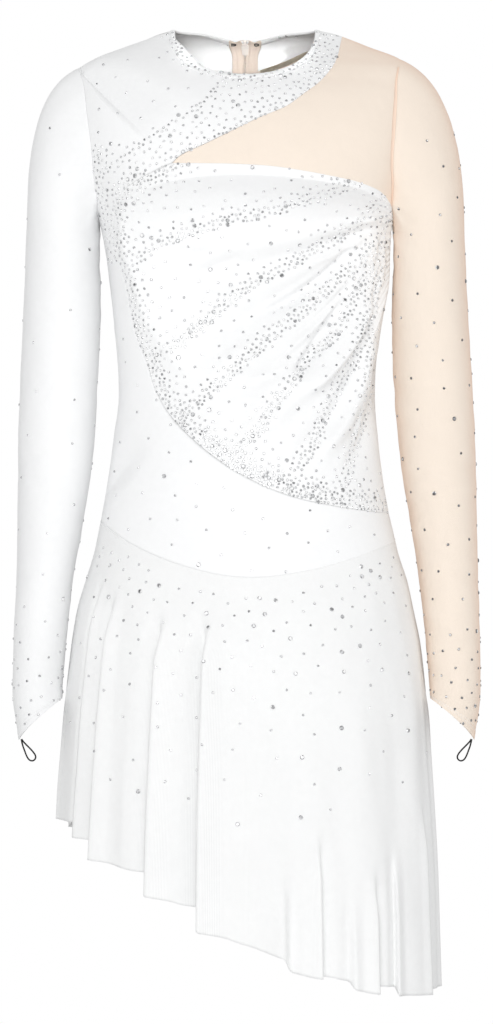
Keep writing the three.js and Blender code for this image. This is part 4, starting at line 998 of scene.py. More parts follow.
# The weights are the same as on the plain solids, so that both run their cloth the same way.
def front_sides(seams):
    base_outer = chain((seams["neck_front"], 10), (seams["shoulder_right"], 4),
                       (seams["armhole_front_right"], 9), (seams["side_right"], 9),
                       (seams["waist_front"], 14))
    base_inner = chain((seams["sash"], 14), (seams["drape_armhole"], 9), (seams["drape_side"], 9),
                       (seams["drape_waist"], 14))
    drape_near = chain((seams["armhole_drape"], 16), (seams["side_gathered"], 39))
    drape_far = chain((seams["drape_armhole"], 9), (seams["drape_side"], 18), (seams["drape_waist"], 28))
    return {
        "front_base": (base_outer, base_inner, seams["band_shoulder"], seams["side_under_drape"]),
        "front_net": (seams["sash"], seams["armhole_net"], seams["shoulder_net"], seams["drape_top"]),
        "front_drape": (drape_near, drape_far, turned(seams["drape_top"]), seams["side_of_drape"]),
    }


def back_sides(seams):
    right_top = chain((seams["neck_back_right"], 5), (seams["shoulder_right"], 4))
    right_side = chain((seams["armhole_back_right"], 9), (seams["side_right"], 9))
    net_top = chain((seams["band_back"], 5), (seams["shoulder_net"], 4))
    return {
        "back_right": (right_top, seams["waist_back_right"], seams["zip_right"], right_side),
        "back_left_band": (seams["neck_back_left"], seams["band_back"], seams["zip_band"],
                           seams["band_shoulder"]),
        "back_left_net": (net_top, seams["net_back"], seams["zip_net"], seams["armhole_back_left"]),
        "back_left_lower": (seams["net_back"], seams["waist_back_left"], seams["zip_lower"],
                            seams["side_left"]),
    }


def neck_ring(lower):
    """The whole neck line, from the zip round the front and back to the zip."""
    return chain((neck_line(1, True, lower), 5), (neck_line(1, False, lower), 10),
                 (turned(neck_line(-1, True, lower)), 5))


# Section of the folded binding, as shares of its height and how far it stands out.
BINDING_SECTION = [
    (0.03, 0.1), (0.08, 0.5), (0.25, 0.78), (0.5, 0.85), (0.75, 0.78), (0.93, 0.45), (1.0, -0.2), (1.0, -0.9),
    (0.93, -1.4), (0.7, -1.6), (0.4, -1.6), (0.1, -1.45), (0.02, -0.9), (0.03, 0.1),
]
BINDING_COLUMNS = 420


def binding_points():
    """The folded neck binding: its section rounds over the opening's edge."""
    t = np.linspace(0.0004, 0.9996, BINDING_COLUMNS)
    low, high = neck_ring(NECK_BINDING)(t), neck_ring(0)(t)
    normals = body_normal(low)
    ripple = 0.1 * unevenness(low, 9, 21)
    points = np.array([mix(low, high, share) + normals * (out + ripple * (out > 0))[:, None]
                       for share, out in BINDING_SECTION])
    middle = points[:-1].mean(axis=0)
    outline = [(NECK_BINDING * share, out) for share, out in BINDING_SECTION]
    around = np.cumsum([0] + [math.dist(a, b) for a, b in zip(outline, outline[1:])])
    along = running(points, 1)[3]
    place = np.stack(np.broadcast_arrays(along[None, :], around[:, None]), axis=-1)
    return points, points - middle[None], place


# ---- sleeves
def sleeve_grid(side, rows, front, back, seed):
    """A sleeve from its armhole to its pointed cuff, with its folds."""
    share = np.linspace(0, 1, SLEEVE_COLUMNS + 1)
    turn = 2 * np.pi * share
    top = np.where((share <= 0.5)[:, None], front(np.clip(2 * share, 0, 1)),
                   back(np.clip(2 - 2 * share, 0, 1)))
    last_rows = rows.key[:2]

    def ring(z):
        outer, inner = rows.at("outer", z), rows.at("inner", z)
        middle, half = (outer + inner) / 2, (outer - inner) / 2
        cuff = ease((last_rows[1] - z) / (last_rows[1] - last_rows[0]))
        pointed = 1 - 2 * ((1 - np.cos(turn)) / 2) ** CUFF_POINT
        lean = mix(np.cos(turn), pointed, cuff)
        return xyz(middle + half * np.cos(turn), rows.at("y", z) - rows.at("half", z) * np.sin(turn),
                   z + rows.at("tilt", z) * lean)

    first = ring(rows.key[-1])
    outward = ((1 + np.cos(turn)) / 2)[:, None]
    reach = length_of(first - top)[:, None]
    leave = 0.8 * reach * np.hstack([side * mix(0.35, 0.93, outward), 0 * outward, -mix(0.9, 0.37, outward)])
    arrive = -mix(1, 1.5, outward) * reach * np.array([0, 0, 1])
    tucked = on_body(top - side * np.array([TUCK_WIDTH, 0, 0])) - body_normal(top) * TUCK_DEPTH
    cap = [tucked] + [hermite(t, top, first, leave, arrive) for t in CAP_SHARES]
    body = [ring(z) for z in np.linspace(rows.key[-1], rows.key[0] + 6, SLEEVE_ROWS)]
    cuff = [ring(rows.key[0] + rest) for rest in CUFF_ROWS]
    form = np.array(cap + body + cuff)
    normals = grid_normals(form, form - form[:, :-1].mean(axis=1, keepdims=True), wrap=True)
    down = running(form, 0)
    to_cuff = down[-1:] - down
    degrees = np.degrees(turn)[None, :]
    rise = 0.2 * unevenness(form, 42, seed) + 0.1 * unevenness(form, 17, seed + 1)
    for fold in SLEEVE_FOLDS.records():
        off_turn = (degrees - fold["turn"] + 180) % 360 - 180
        off = form[..., 2] - (fold["z"] + fold["slant"] * off_turn)
        rise = rise + fold["rise"] * np.exp(-(off / fold["spread"]) ** 2 - (off_turn / fold["reach"]) ** 2)
    rise = rise * ease(down / FOLDS_FADE_CAP) * ease(to_cuff / FOLDS_FADE_CUFF)
    rise = rise - SEAM_SINK * np.exp(-(down / SEAM_ROLL) ** 2)
    girth = length_of(np.diff(form, axis=1)).sum(axis=1)[:, None]
    from_seam = np.abs(share[None, :] - 0.5) * girth
    rise = rise - ARM_SEAM_DEPTH * np.exp(-(from_seam / ARM_SEAM_WIDTH) ** 2)
    rise = rise + ARM_RIDGE_RISE * np.exp(-((from_seam - ARM_RIDGE_FROM) / ARM_RIDGE_WIDTH) ** 2)
    above_hem = to_cuff - CUFF_HEM
    rise = rise + HEM_STEP * (1 - ease(above_hem / 0.9)) - HEM_GROOVE * np.exp(-(above_hem / 0.8) ** 2)
    points = form + normals * rise[..., None]
    place = np.stack([share[None, :] * girth.mean() + 0 * down, down], axis=-1)
    return points, normals, place


# ---- the skirt
def hem_height(angle, flutes):
    """Height of the hem: straight between the flutes, and steep within each."""
    keys, heights = [-SIDE_ANGLE], [HEM_AT_RIGHT]
    for flute in flutes.records():
        reach = flute["width"] * FLUTE_HEM_SHARE
        keys += [flute["angle"] - reach, flute["angle"] + reach]
        heights += [flute["hem_before"], flute["hem_after"]]
    keys.append(SIDE_ANGLE)
    heights.append(HEM_AT_LEFT)
    keys, heights = np.array(keys), np.array(heights)
    k = np.clip(np.searchsorted(keys, angle) - 1, 0, len(keys) - 2)
    share = (angle - keys[k]) / (keys[k + 1] - keys[k])
    in_flute = k % 2 == 1
    return mix(heights[k], heights[k + 1], np.where(in_flute, ease(share), share))


def arc_per_degree(angle, back):
    ends = section_point(SKIRT, np.array([angle - 0.5, angle + 0.5]), FLUTE_MIDDLE, back)
    return float(length_of(ends[1] - ends[0]))


def skirt_grid(back, seam_rows, flutes, waves):
    """The skirt falls from the dropped waist seam in soft flutes that lean over to one side."""
    angle = np.linspace(-SIDE_ANGLE, SIDE_ANGLE, SKIRT_COLUMNS + 1)
    angle = np.concatenate([[-SIDE_ANGLE, -SIDE_ANGLE + 0.25], angle[1:-1],
                            [SIDE_ANGLE - 0.25, SIDE_ANGLE]])[None, :]
    top = seam_rows.at("z", angle) - PANEL_INSET
    share = np.concatenate([[0, 0, 0.0015, 0.004, 0.007], np.linspace(0.011, 1, SKIRT_ROWS) ** 0.95])[:, None]
    z = mix(top, hem_height(angle, flutes), share)
    z[0] += TUCK_WIDTH
    angle = angle + 0 * z
    flare = ease((top - z) / FLARE_LENGTH)[..., None]
    body = section_point(BODY, angle, np.maximum(z, BODY.key[0]), back)
    body[..., 2] = z
    points = mix(body, section_point(SKIRT, angle, z, back), flare)
    ahead = section_point(SKIRT, angle + 0.5, z, back) - section_point(SKIRT, angle - 0.5, z, back)
    tangent = unit(ahead)
    outward = np.stack([tangent[..., 1], -tangent[..., 0], 0 * z], axis=-1) * (-1 if back else 1)
    for flute in flutes.records():
        u = np.clip((angle - flute["angle"]) * arc_per_degree(flute["angle"], back) / flute["width"], -1, 1)
        below = flute["start"] - z
        grown = ease((below + FLUTE_LEAD) / FLUTE_GROWTH) * mix(0.8, 1, ease(below / FLUTE_FULL))
        wave = grown * np.sin(np.pi * u) * (1 + np.cos(np.pi * u)) / 2
        points = points - tangent * (flute["lean"] * wave)[..., None]
        points = points + outward * (flute["depth"] * flute["on_top"] * wave)[..., None]
    rise = 0.35 * unevenness(points * (1, 1, 0.25), 30, 8) * ease((top - z) / 60)
    for wave in waves.records():
        across = np.exp(-((angle - wave["angle"]) / wave["spread"]) ** 2)
        rise = rise + wave["rise"] * across * ease((wave["start"] - z) / WAVE_GROWTH)
    down = running(points, 0)
    sides = np.minimum(angle + SIDE_ANGLE, SIDE_ANGLE - angle) * 3
    lip = LIP_RISE * np.exp(-((down - LIP_BELOW) / LIP_WIDTH) ** 2)
    lip = lip * ease((np.abs(angle) - LIP_FROM) / LIP_OVER)
    rise = rise * ease(sides / 12) + lip - SEAM_SINK * np.exp(-(down / 1.2) ** 2)
    rise = rise - 0.25 * np.exp(-(sides / 1.4) ** 2)
    rise[0] = -TUCK_DEPTH - SEAM_SINK
    points = points + outward * rise[..., None]
    points[:, [0, -1], 1] = (1 if back else -1) * PANEL_INSET
    return points, grid_normals(points, outward), np.stack([angle * SKIRT_PER_DEGREE, z], axis=-1)


# ---- stones
# Stone lines of the gathered panel, from the armpit to the far edge, each with the spacing on it, and
# how fast the stones thin out above and below it.
STONE_LINES = [
    ([(111, -162), (93, -167), (53, -180), (14, -193), (-12, -196), (-54, -209), (-88, -222), (-105, -235),
      (-112, -248)], 3.7, 0.42, 2.4),
    ([(135, -177), (114, -200), (86, -216), (60, -230), (36, -247), (7, -260), (-12, -275), (-49, -307),
      (-79, -328), (-96, -337)], 3.7, 0.42, 2.4),
    ([(142, -192), (126, -222), (114, -238), (79, -266), (60, -285), (36, -305), (11, -327), (-16, -352),
      (-37, -369), (-56, -386)], 3.7, 0.42, 2.4),
    ([(140, -218), (112, -267), (93, -308), (65, -331), (44, -363), (27, -381), (15, -404), (-6, -423)],
     3.6, 0.45, 2.4),
    ([(133, -233), (128, -261), (118, -312), (108, -336), (94, -358), (84, -381), (68, -421), (53, -437)],
     3.6, 0.45, 2.4),
    ([(138, -194), (136, -244), (125, -294), (125, -336), (123, -373), (116, -394), (108, -421), (97, -465)],
     3.5, 0.45, 1.4),
]
SASH_LINE = [(-21, -57), (-52, -88), (-86, -109), (-107, -122), (-125, -134), (-140, -147), (-146, -170)]
STONE_LINE_WIDTH = 6.0
CHEST_LINE = [(-146, -130), (-143, -175), (-141, -205)]

# How far apart the loose stones are, in millimetres.
APART_ON_DRAPE, APART_UNDER_NET, APART_ON_BASE, APART_LOW = 15.0, 20, 19.0, 22.0
APART_ON_BAND = 5.0
MOST_APART, NO_STONES = 100, 1e6


def distance_to(points, line):
    """Distance of each point of the front to a line, and which side of it the point is on."""
    line = np.asarray(line, float)
    start, way = line[:-1], np.diff(line, axis=0)
    best, side = np.full(len(points), 1e9), np.zeros(len(points))
    for from_point, step in zip(start, way):
        off = points - from_point
        t = np.clip(off @ step / (step @ step), 0, 1)
        gap = length_of(off - t[:, None] * step)
        nearer = gap < best
        turn = step[0] * off[:, 1] - step[1] * off[:, 0]
        best, side = np.where(nearer, gap, best), np.where(nearer, np.sign(turn), side)
    return best, side


def inside(points, outline):
    outline = np.asarray(outline, float)
    odd = np.zeros(len(points), bool)
    for (x0, z0), (x1, z1) in zip(outline, np.roll(outline, -1, axis=0)):
        crosses = (z0 > points[:, 1]) != (z1 > points[:, 1])
        rise = np.where(z1 == z0, 1e-9, z1 - z0)
        odd ^= crosses & (points[:, 0] < (x1 - x0) * (points[:, 1] - z0) / rise + x0)
    return odd


def spread(points, spacing, rng):
    """Keeps points in turn that are no nearer to the kept ones than their own spacing."""
    kept = np.empty((0, 2))
    chosen = []
    for k in rng.permutation(len(points)):
        if len(kept) and np.min(np.sum((kept - points[k]) ** 2, axis=1)) < spacing[k] ** 2:
            continue
        chosen.append(k)
        kept = np.vstack([kept, points[k]])
    return np.array(chosen, int)


def front_spacing(points):
    """How far apart the stones of the front are, in millimetres."""
    drape = np.array(DRAPE_TOP + [(150, -190), (150, -484)] + DRAPE_EDGE[::-1])
    net = np.array(SASH_EDGE + DRAPE_TOP[1:] + [(175, -150), (175, -20), (97, -10)])
    in_drape, in_net = inside(points, drape), inside(points, net)
    spacing = np.where(in_drape, APART_ON_DRAPE, APART_ON_BASE)
    low = ~in_drape & (points[:, 1] < -240)
    spacing = np.where(low, APART_LOW, spacing)
    below_top = distance_to(points, DRAPE_TOP)[0]
    under_net = in_drape & (below_top < 40) & (points[:, 0] < 100)
    spacing = np.where(under_net, APART_UNDER_NET, spacing)
    for line, near, above, below in STONE_LINES:
        gap, side = distance_to(points, line)
        grow = np.where(side < 0, above, below)
        reach = near + grow * np.maximum(0, gap - STONE_LINE_WIDTH * np.where(side < 0, 1, 0.45))
        reach = np.where((side < 0) & (gap > 26), 99, reach)
        spacing = np.where(in_drape, np.minimum(spacing, reach), spacing)
    edge = distance_to(points, DRAPE_EDGE)[0]
    hem = np.clip((-points[:, 1] - 260) / 160, 0, 1)
    from_edge = 3.2 + np.maximum(0, edge - mix(6, 14, hem)) * 0.28
    spacing = np.where(in_drape, np.minimum(spacing, from_edge), spacing)
    at_armhole = distance_to(points, CHEST_LINE)[0]
    chest = ~in_drape & ~in_net & (points[:, 1] < -120) & (points[:, 1] > -235)
    edge_out = np.minimum(edge, at_armhole)
    spacing = np.where(chest, np.minimum(spacing, 3.6 + np.maximum(0, edge_out - 4) * 0.22), spacing)
    sash_gap, sash_side = distance_to(points, SASH_LINE)
    sash_edge = distance_to(points, SASH_EDGE)[0]
    in_sash = ~in_drape & ~in_net & (sash_side > 0) & (points[:, 1] > -150)
    right = np.clip((points[:, 0] + 20) / 90, 0, 1)
    fill = mix(6.2, 4.4, right)
    band = np.minimum(fill, 3.8 + 0.4 * np.maximum(0, np.minimum(sash_gap, sash_edge) - 2.5))
    spacing = np.where(in_sash, band, spacing)
    fringe = ~in_drape & ~in_net & (sash_side <= 0) & (sash_gap < 9) & (points[:, 1] > -150)
    spacing = np.where(fringe, np.minimum(spacing, 3.6 + 1.9 * sash_gap), spacing)
    neck = neck_line(1, False, 1.5)(np.linspace(0, 1, 80))[:, [0, 2]]
    neck_gap = distance_to(points, neck)[0]
    near_neck = ~in_drape & ~in_net & (points[:, 1] > -100)
    spacing = np.where(near_neck, np.minimum(spacing, 3.7 + 0.8 * np.maximum(0, neck_gap - 4)), spacing)
    return np.where(in_net, NO_STONES, spacing)


def back_spacing(points):
    """The stones of the back: close on the neck band, then thinning downwards."""
    neck = np.vstack([neck_line(side, True, NECK_BINDING + 1.8)(np.linspace(0, 1, 40))[::side, [0, 2]]
                      for side in (-1, 1)])
    neck_gap = distance_to(points, neck)[0]
    band = np.array([(0, -5), (75, 0), (97, -10)] + BAND_SEAM_BACK[::-1] + [(0, BAND_SEAM_CENTRE)])
    in_band = inside(points, band)
    in_net = (points[:, 0] > 0) & ~in_band & (points[:, 1] > NET_EDGE_CENTRE + 6)
    spacing = 24 + 12 * np.clip((-points[:, 1] - 60) / 200, 0, 1)
    spacing = np.minimum(spacing, 4.5 + 1.1 * np.maximum(0, neck_gap - 2.5))
    spacing = np.where(in_band, APART_ON_BAND, spacing)
    clear = np.abs(points[:, 0]) < 9
    return np.where(in_net | clear, NO_STONES, spacing)


def stone_shape(sides, tiers):
    """A flat-backed cut stone of radius 1: a girdle, rings of facets and a table."""
    bm = bmesh.new()
    bmesh.ops.create_circle(bm, cap_ends=True, segments=sides, radius=1)
    table = bm.faces[:]
    for inset, height in tiers:
        grown = bmesh.ops.extrude_face_region(bm, geom=table)
        corners = [part for part in grown["geom"] if isinstance(part, bmesh.types.BMVert)]
        bmesh.ops.translate(bm, verts=corners, vec=(0, 0, height))
        bmesh.ops.scale(bm, verts=corners, vec=(inset, inset, 1))
        table = [part for part in grown["geom"] if isinstance(part, bmesh.types.BMFace)]
    return bm


def painted_facet_glints(rng, painted_dark_reflection):
    """Painted reflection of each facet: a few get a painted highlight at full white, the others a painted
    light or dark tone, darker on stones with more painted dark reflection.
    """
    def build(count, faces):
        painted_glint = rng.beta(1.5, 1.1, (count, len(faces)))
        painted_highlight = rng.random((count, len(faces))) < PAINTED_HIGHLIGHT_SHARE
        return np.where(painted_highlight, 1, painted_glint * (1 - painted_dark_reflection[:, None]))

    return build


def surface_of(*names):
    """One tree of the shown faces of some pieces, in millimetres, to lay stones on."""
    corners, faces, start = [], [], 0
    for name in names:
        mesh = bpy.data.objects[name].data
        flat = np.empty(len(mesh.vertices) * 3)
        mesh.vertices.foreach_get("co", flat)
        corners.append(flat.reshape(-1, 3) / MM)
        faces += [[start + k for k in face.vertices] for face in mesh.polygons]
        start += len(mesh.vertices)
    return BVHTree.FromPolygons(np.vstack(corners).tolist(), faces)


def laid_on(surface, origins, directions):
    """Where rays meet a surface, and its normals there, facing back along each ray."""
    spots, normals, found = [], [], []
    for k, (origin, direction) in enumerate(zip(origins, directions)):
        spot, normal, _, _ = surface.ray_cast(Vector(origin), Vector(direction))
        if spot is None:
            continue
        outward = normal if normal.dot(Vector(direction)) < 0 else -normal
        if outward.dot(Vector(direction)) > -GLANCING:
            continue
        spots.append(spot)
        normals.append(outward)
        found.append(k)
    return np.array(spots), np.array(normals), np.array(found, int)


# ---- pieces by name
STONE_SIDES, STONE_TIERS = 8, ((1, 0.22), (0.6, 0.34))
# the last is the share of stone facets that get a painted highlight
STONE_LIFT, STONE_VARIATION, PAINTED_HIGHLIGHT_SHARE = 0.08, (0.93, 1.07), 0.16
LARGE_ON_BODICE, LARGE_ON_SKIRT, LARGE_ON_SLEEVES = 0.06, 0.16, 0.1
ARM_RADIUS = 40
GLANCING = 0.16             # the least that a face has to look at the ray that lays something on it
TOOTH_PITCH, TOOTH_SIZE, TOOTH_BEVEL = 1.3, (2.5, 0.62, 1.3), 0.2
TOOTH_X, TOOTH_SUNK, TOOTH_SLANT = 0.85, 0.75, 0.18
TAPE_FLARE, TAPE_OPENED, TAPE_CLOSED, TAPE_END = 3.6, 2.6, 1.35, 4.6
TAPE_RIBS = (2.6, 4.6, 7.4)
ARMHOLE_TAPE = (0.6, 6)      # from the armhole seam to its two edges
ARMHOLE_TAPE_LIFT, ARMHOLE_TAPE_RIDGE, ARMHOLE_TAPE_COLUMNS = 0.28, 0.5, 240
STRIP_ABOVE, STRIP_THREAD_PITCH, STRIP_THREAD_SLANT, STRIP_THREAD_RISE = -1.6, 1.35, 0.7, 0.22
STITCH_LENGTH, STITCH_PITCH, STITCH_RADIUS = 2.3, 3.0, 0.2
NECK_STITCHES = 1.6         # below the binding
ZIP_STITCHES = (4.6, 11.4)  # from the centre back
CUFF_STITCHES = (1.6, 4)    # below the top of the cuff's hem
FAR = 600


def finger_loop_route(side, rows):
    outer, y, z, tilt = (float(rows.data[column][0]) for column in ("outer", "y", "z", "tilt"))
    return [(outer - side * inwards, y + across, z + tilt + down) for inwards, across, down in LOOP_ROUTE]


def make_finger_loop(name, side, rows):
    piece, centre, length = tube(name + "_elastic", finger_loop_route(side, rows), FINGER_LOOP / 2,
                                 "elastic_cord")
    settle(piece, BODY_NAME, "elastic", name)


def make_panels(sides, settings):
    kinds = {
        "front_base": ((3.2, 3.0), "white_stretch", settings.cloth, body_lift),
        "front_net": ((3.0, 3.0), "skin_net", settings.net, body_lift),
        "front_drape": ((1.7, 2.2), "white_stretch", settings.drape, drape_lift),
        "back_left_net": ((3.0, 2.6), "skin_net", settings.net, back_lift),
    }
    white_back = ((3.0, 2.6), "white_stretch", settings.cloth, back_lift)
    for node, lines in sides.items():
        spacing, slot, thickness, lift = kinds.get(node, white_back)
        cloth_piece(node, panel_grid(lines, spacing, lift), slot, thickness)


def make_armhole_tape(seams):
    """The seam allowance of the net's armhole, which shows as a narrow double line."""
    line = seams["armhole_net"](np.linspace(0.16, 0.995, ARMHOLE_TAPE_COLUMNS))
    width = np.linspace(*ARMHOLE_TAPE, 15)[:, None]
    taper = mix(0.3, 1, ease(np.linspace(0, 1, ARMHOLE_TAPE_COLUMNS) * 2.2))
    face = on_body(xyz(line[None, :, 0] - width * taper, line[None, :, 1], line[None, :, 2]))
    normals = body_normal(face)
    first, last = ARMHOLE_TAPE
    edges = sum(np.exp(-((width - at) / 0.45) ** 2) for at in (first + 0.5, last - 0.5))
    rise = (ARMHOLE_TAPE_LIFT + ARMHOLE_TAPE_RIDGE * edges)[..., None]
    points = face + normals * rise
    place = np.stack(np.broadcast_arrays(width, line[None, :, 2]), axis=-1)
    mesh = cloth_mesh("armhole_seam_tape", points, normals, place)
    settle(new_object("armhole_seam_tape", mesh, "nude_seam", 0.3 * MM), BODY_NAME, "skin_net")


def make_binding():
    points, outward, place = binding_points()
    mesh = cloth_mesh("neck_binding_cloth", points, outward, place)
    weld(mesh)
    close_ends(mesh)
    settle(new_object("neck_binding_cloth", mesh, "white_jersey"), BODY_NAME, "white_stretch", "neck_binding")


def make_sleeves(seams, settings):
    net_front = chain((seams["armhole_net"], 7), (seams["armhole_drape"], 2))
    white = sleeve_grid(-1, SLEEVE_WHITE, seams["armhole_front_right"], seams["armhole_back_right"], 3)
    net = sleeve_grid(1, SLEEVE_NET, net_front, seams["armhole_back_left"], 9)
    cloth_piece("sleeve_white", white, "white_stretch", settings.cloth, wrap=True)
    cloth_piece("sleeve_net", net, "skin_net", settings.net, wrap=True)


def make_skirt(settings):
    front = skirt_grid(False, WAIST_SEAM_FRONT, FLUTES_FRONT, WAVES_FRONT)
    back = skirt_grid(True, WAIST_SEAM_BACK, FLUTES_BACK, WAVES_BACK)
    cloth_piece("skirt_front", front, "skirt_mesh", settings.skirt)
    cloth_piece("skirt_back", back, "skirt_mesh", settings.skirt)


# ---- the zip
def inner_strip(name, points, material, thickness, place):
    """A flat strip that lies on the inner face of the back."""
    normals = body_normal(points)
    mesh = cloth_mesh(name, points, normals, place)
    return new_object(name, mesh, material, thickness * MM)


def make_tape(node, side):
    z = np.linspace(ZIP_TOP + TAPE_END, ZIP_BOTTOM + 0.1, 220)[:, None]
    share = np.linspace(0, 1, 15)[None, :]
    flare = TAPE_FLARE * ease((z - ZIP_TOP + 11) / 13)
    opened = TAPE_OPENED * ease((z - ZIP_TOP + 2) / 7) - TAPE_CLOSED * ease((-z - 17) / 4)
    x = side * (TAPE_FROM + 0.1 + opened + share * (TAPE_WIDTH - 0.2 + flare - opened))
    z = z + 0.9 * flare / TAPE_FLARE * np.cos(2.2 * np.pi * share) * (share < 0.95)
    face = back_point(*np.broadcast_arrays(x, z))
    from_edge = np.minimum(share, 1 - share) * TAPE_WIDTH
    ribs = sum(np.exp(-((share * TAPE_WIDTH - at) / 0.35) ** 2) for at in TAPE_RIBS)
    rise = 0.12 * unevenness(face, 24, 31) + 0.1 * np.exp(-(from_edge / 0.7) ** 2) + 0.3 * ribs
    sunk = face - body_normal(face) * (TAPE_UNDER + 0.05 - rise)[..., None]
    piece = inner_strip(node + "_woven", sunk, "woven_tape", TAPE_THICK, sunk[..., [0, 2]])
    settle(piece, BODY_NAME, "zip_tape", node)


def make_seam_strip():
    """The overlocked edge of the band's seam, with its slanting threads."""
    upper = seam(BAND_SEAM_BACK, back_point)(np.linspace(0, 1, 600))
    upper = upper[(upper[:, 0] > STRIP_FROM) & (upper[:, 0] < STRIP_TO)]
    upper = even(upper)(np.linspace(0, 1, 420))
    down = np.linspace(STRIP_ABOVE, STRIP_WIDTH * 0.8 - 0.02, 13)[:, None]
    face = on_body(xyz(upper[None, :, 0], upper[None, :, 1], upper[None, :, 2] - down))
    along = running(face, 1)
    threads = np.sin(2 * np.pi * (along + down * STRIP_THREAD_SLANT) / STRIP_THREAD_PITCH)
    across = 2 * (down - down[0]) / (down[-1] - down[0]) - 1
    rise = STRIP_THREAD_RISE * threads * (1 - 0.5 * across ** 2)
    rise = rise + 0.3 * np.exp(-((across - 0.9) / 0.12) ** 2)
    rise = rise + 0.22 * np.exp(-((across + 0.9) / 0.12) ** 2)
    sunk = face - body_normal(face) * (STRIP_UNDER + 0.25 - 0.5 * rise)[..., None]
    place = np.stack([along, down + 0 * along], axis=-1)
    piece = inner_strip("seam_strip_overlock", sunk, "overlock_thread", 0.8, place)
    settle(piece, BODY_NAME, "seam_thread", "seam_strip")


def rounded_block(size, bevel):
    bm = bmesh.new()
    bmesh.ops.create_cube(bm, size=1)
    bmesh.ops.scale(bm, verts=bm.verts, vec=size)
    bmesh.ops.bevel(bm, geom=bm.edges[:], offset=bevel, segments=1, affect="EDGES", profile=0.5)
    return bm


def make_teeth():
    """The coils of the two tapes, hooked into each other along the centre back."""
    z = np.arange(ZIP_TOP - 9, ZIP_BOTTOM + 3, -TOOTH_PITCH / 2)
    side = np.where(np.arange(len(z)) % 2, 1, -1)
    face = back_point(side * TOOTH_X, z)
    outward = body_normal(face)
    places = places_from(face - outward * TOOTH_SUNK, xyz(side, 0, TOOTH_SLANT + 0 * z), outward)
    shape = rounded_block(TOOTH_SIZE, TOOTH_BEVEL)
    settle(repeated("zip_coils", shape, places, "painted_zip"), BODY_NAME, "zip_paint")


def shape_inner_plate(bm):
    """The plate of the slider inside the back is round above and narrows below."""
    middle = back_point(np.array([0.0]), np.array([SLIDER_MIDDLE]))
    out = Vector(body_normal(middle)[0])
    middle = Vector(middle[0]) * MM
    up = Vector((1, 0, 0)).cross(out)
    up *= math.copysign(1, up.z)
    inner = [vert for vert in bm.verts if (vert.co - middle).dot(out) < -4 * MM]
    top = []
    for vert in inner:
        if abs(vert.co.x) < 3 * MM:
            continue
        if (vert.co - middle).dot(up) < 0:
            vert.co.x *= 0.62
        else:
            top.append(vert)
    corners = [edge for edge in bm.edges if all(vert in top for vert in edge.verts)
               and abs((edge.verts[0].co - edge.verts[1].co).normalized().dot(out)) > 0.9]
    bmesh.ops.bevel(bm, geom=corners, offset=3.4 * MM, segments=6, affect="EDGES", profile=0.5)


FLAT_ANGLE, SHARP_ANGLE = math.radians(4), math.radians(35)


def refined(node, slot, material, body, bevel, shape=None):
    """A finer copy of a plain solid, its edges rounded off."""
    source = bpy.data.objects[node]
    bm = bmesh.new()
    bm.from_mesh(source.data)
    bmesh.ops.transform(bm, matrix=source.matrix_world, verts=bm.verts)
    bmesh.ops.remove_doubles(bm, verts=bm.verts, dist=2e-6)
    bmesh.ops.dissolve_limit(bm, angle_limit=FLAT_ANGLE, verts=bm.verts, edges=bm.edges)
    if shape:
        shape(bm)
    sharp = [edge for edge in bm.edges
             if len(edge.link_faces) == 2 and edge.calc_face_angle() > SHARP_ANGLE]
    bmesh.ops.bevel(bm, geom=sharp, offset=bevel * MM, segments=3, affect="EDGES", profile=0.6,
                    clamp_overlap=True)
    settle(new_object(node + "_painted", mesh_from(bm, node + "_painted"), material), body, slot, node)


def on_tape(x, z, rise):
    face = back_point(np.array([x], float), np.array([z], float))
    return (face - body_normal(face) * (TAPE_UNDER + TAPE_THICK + WIRE_GAP + rise))[0]


def make_wires():
    """The hook on the right tape and the eye on the left one."""
    half = HOOK_WIDTH / 2
    hook = [(0, half), (0.6 * HOOK_REACH, half), (0.9 * HOOK_REACH, half * 0.7), (HOOK_REACH, 0),
            (0.9 * HOOK_REACH, -half * 0.7), (0.6 * HOOK_REACH, -half), (0, -half)]
    half = EYE_WIDTH / 2
    eye = [(EYE_REACH, half * 0.4), (1.8, half), (0.4, half * 0.8), (0, 0), (0.4, -half * 0.8), (1.8, -half),
           (EYE_REACH, -half * 0.4)]
    for node, route, x in (("hook", hook, HOOK_X - HOOK_REACH), ("eye", eye, EYE_X)):
        points = [on_tape(x + along, WIRE_Z + up, WIRE_RADIUS) for along, up in route]
        wire = tube(node + "_wire", points, WIRE_RADIUS, "lacquered_wire")[0]
        settle(wire, BODY_NAME, "black_wire", node)


# ---- stitches
def stitch_shape():
    """One stitch: a short thread along X whose ends dip into the cloth."""
    bm = bmesh.new()
    bmesh.ops.create_cone(bm, cap_ends=True, segments=6, radius1=STITCH_RADIUS, radius2=STITCH_RADIUS,
                          depth=STITCH_LENGTH, matrix=Matrix.Rotation(math.pi / 2, 4, "Y"))
    rims = [edge for edge in bm.edges if edge.calc_face_angle() > 1.2]
    bmesh.ops.bevel(bm, geom=rims, offset=STITCH_RADIUS * 0.6, segments=1, affect="EDGES")
    return bm


def stitch_run(surface, line, outward):
    """Places of the stitches along a line, laid on the cloth."""
    total = length_of(np.diff(line, axis=0)).sum()
    count = int(total / STITCH_PITCH)
    share = (np.arange(count) + 0.5) / count
    path, ways = even(line), even(np.hstack([line, outward]))
    middle, way = path(share), unit(ways(share)[:, 3:])
    ahead = path(share + 0.3 / count) - path(share - 0.3 / count)
    spots, normals, found = laid_on(surface, (middle + way * 6).tolist(), (-way).tolist())
    return places_from(spots + normals * STITCH_RADIUS * 0.3, ahead[found], normals)


def neck_stitches():
    surface = surface_of("front_base_cloth", "back_right_cloth", "back_left_band_cloth")
    line = neck_ring(NECK_BINDING + NECK_STITCHES)(np.linspace(0.002, 0.998, 500))
    return stitch_run(surface, line, body_normal(line))


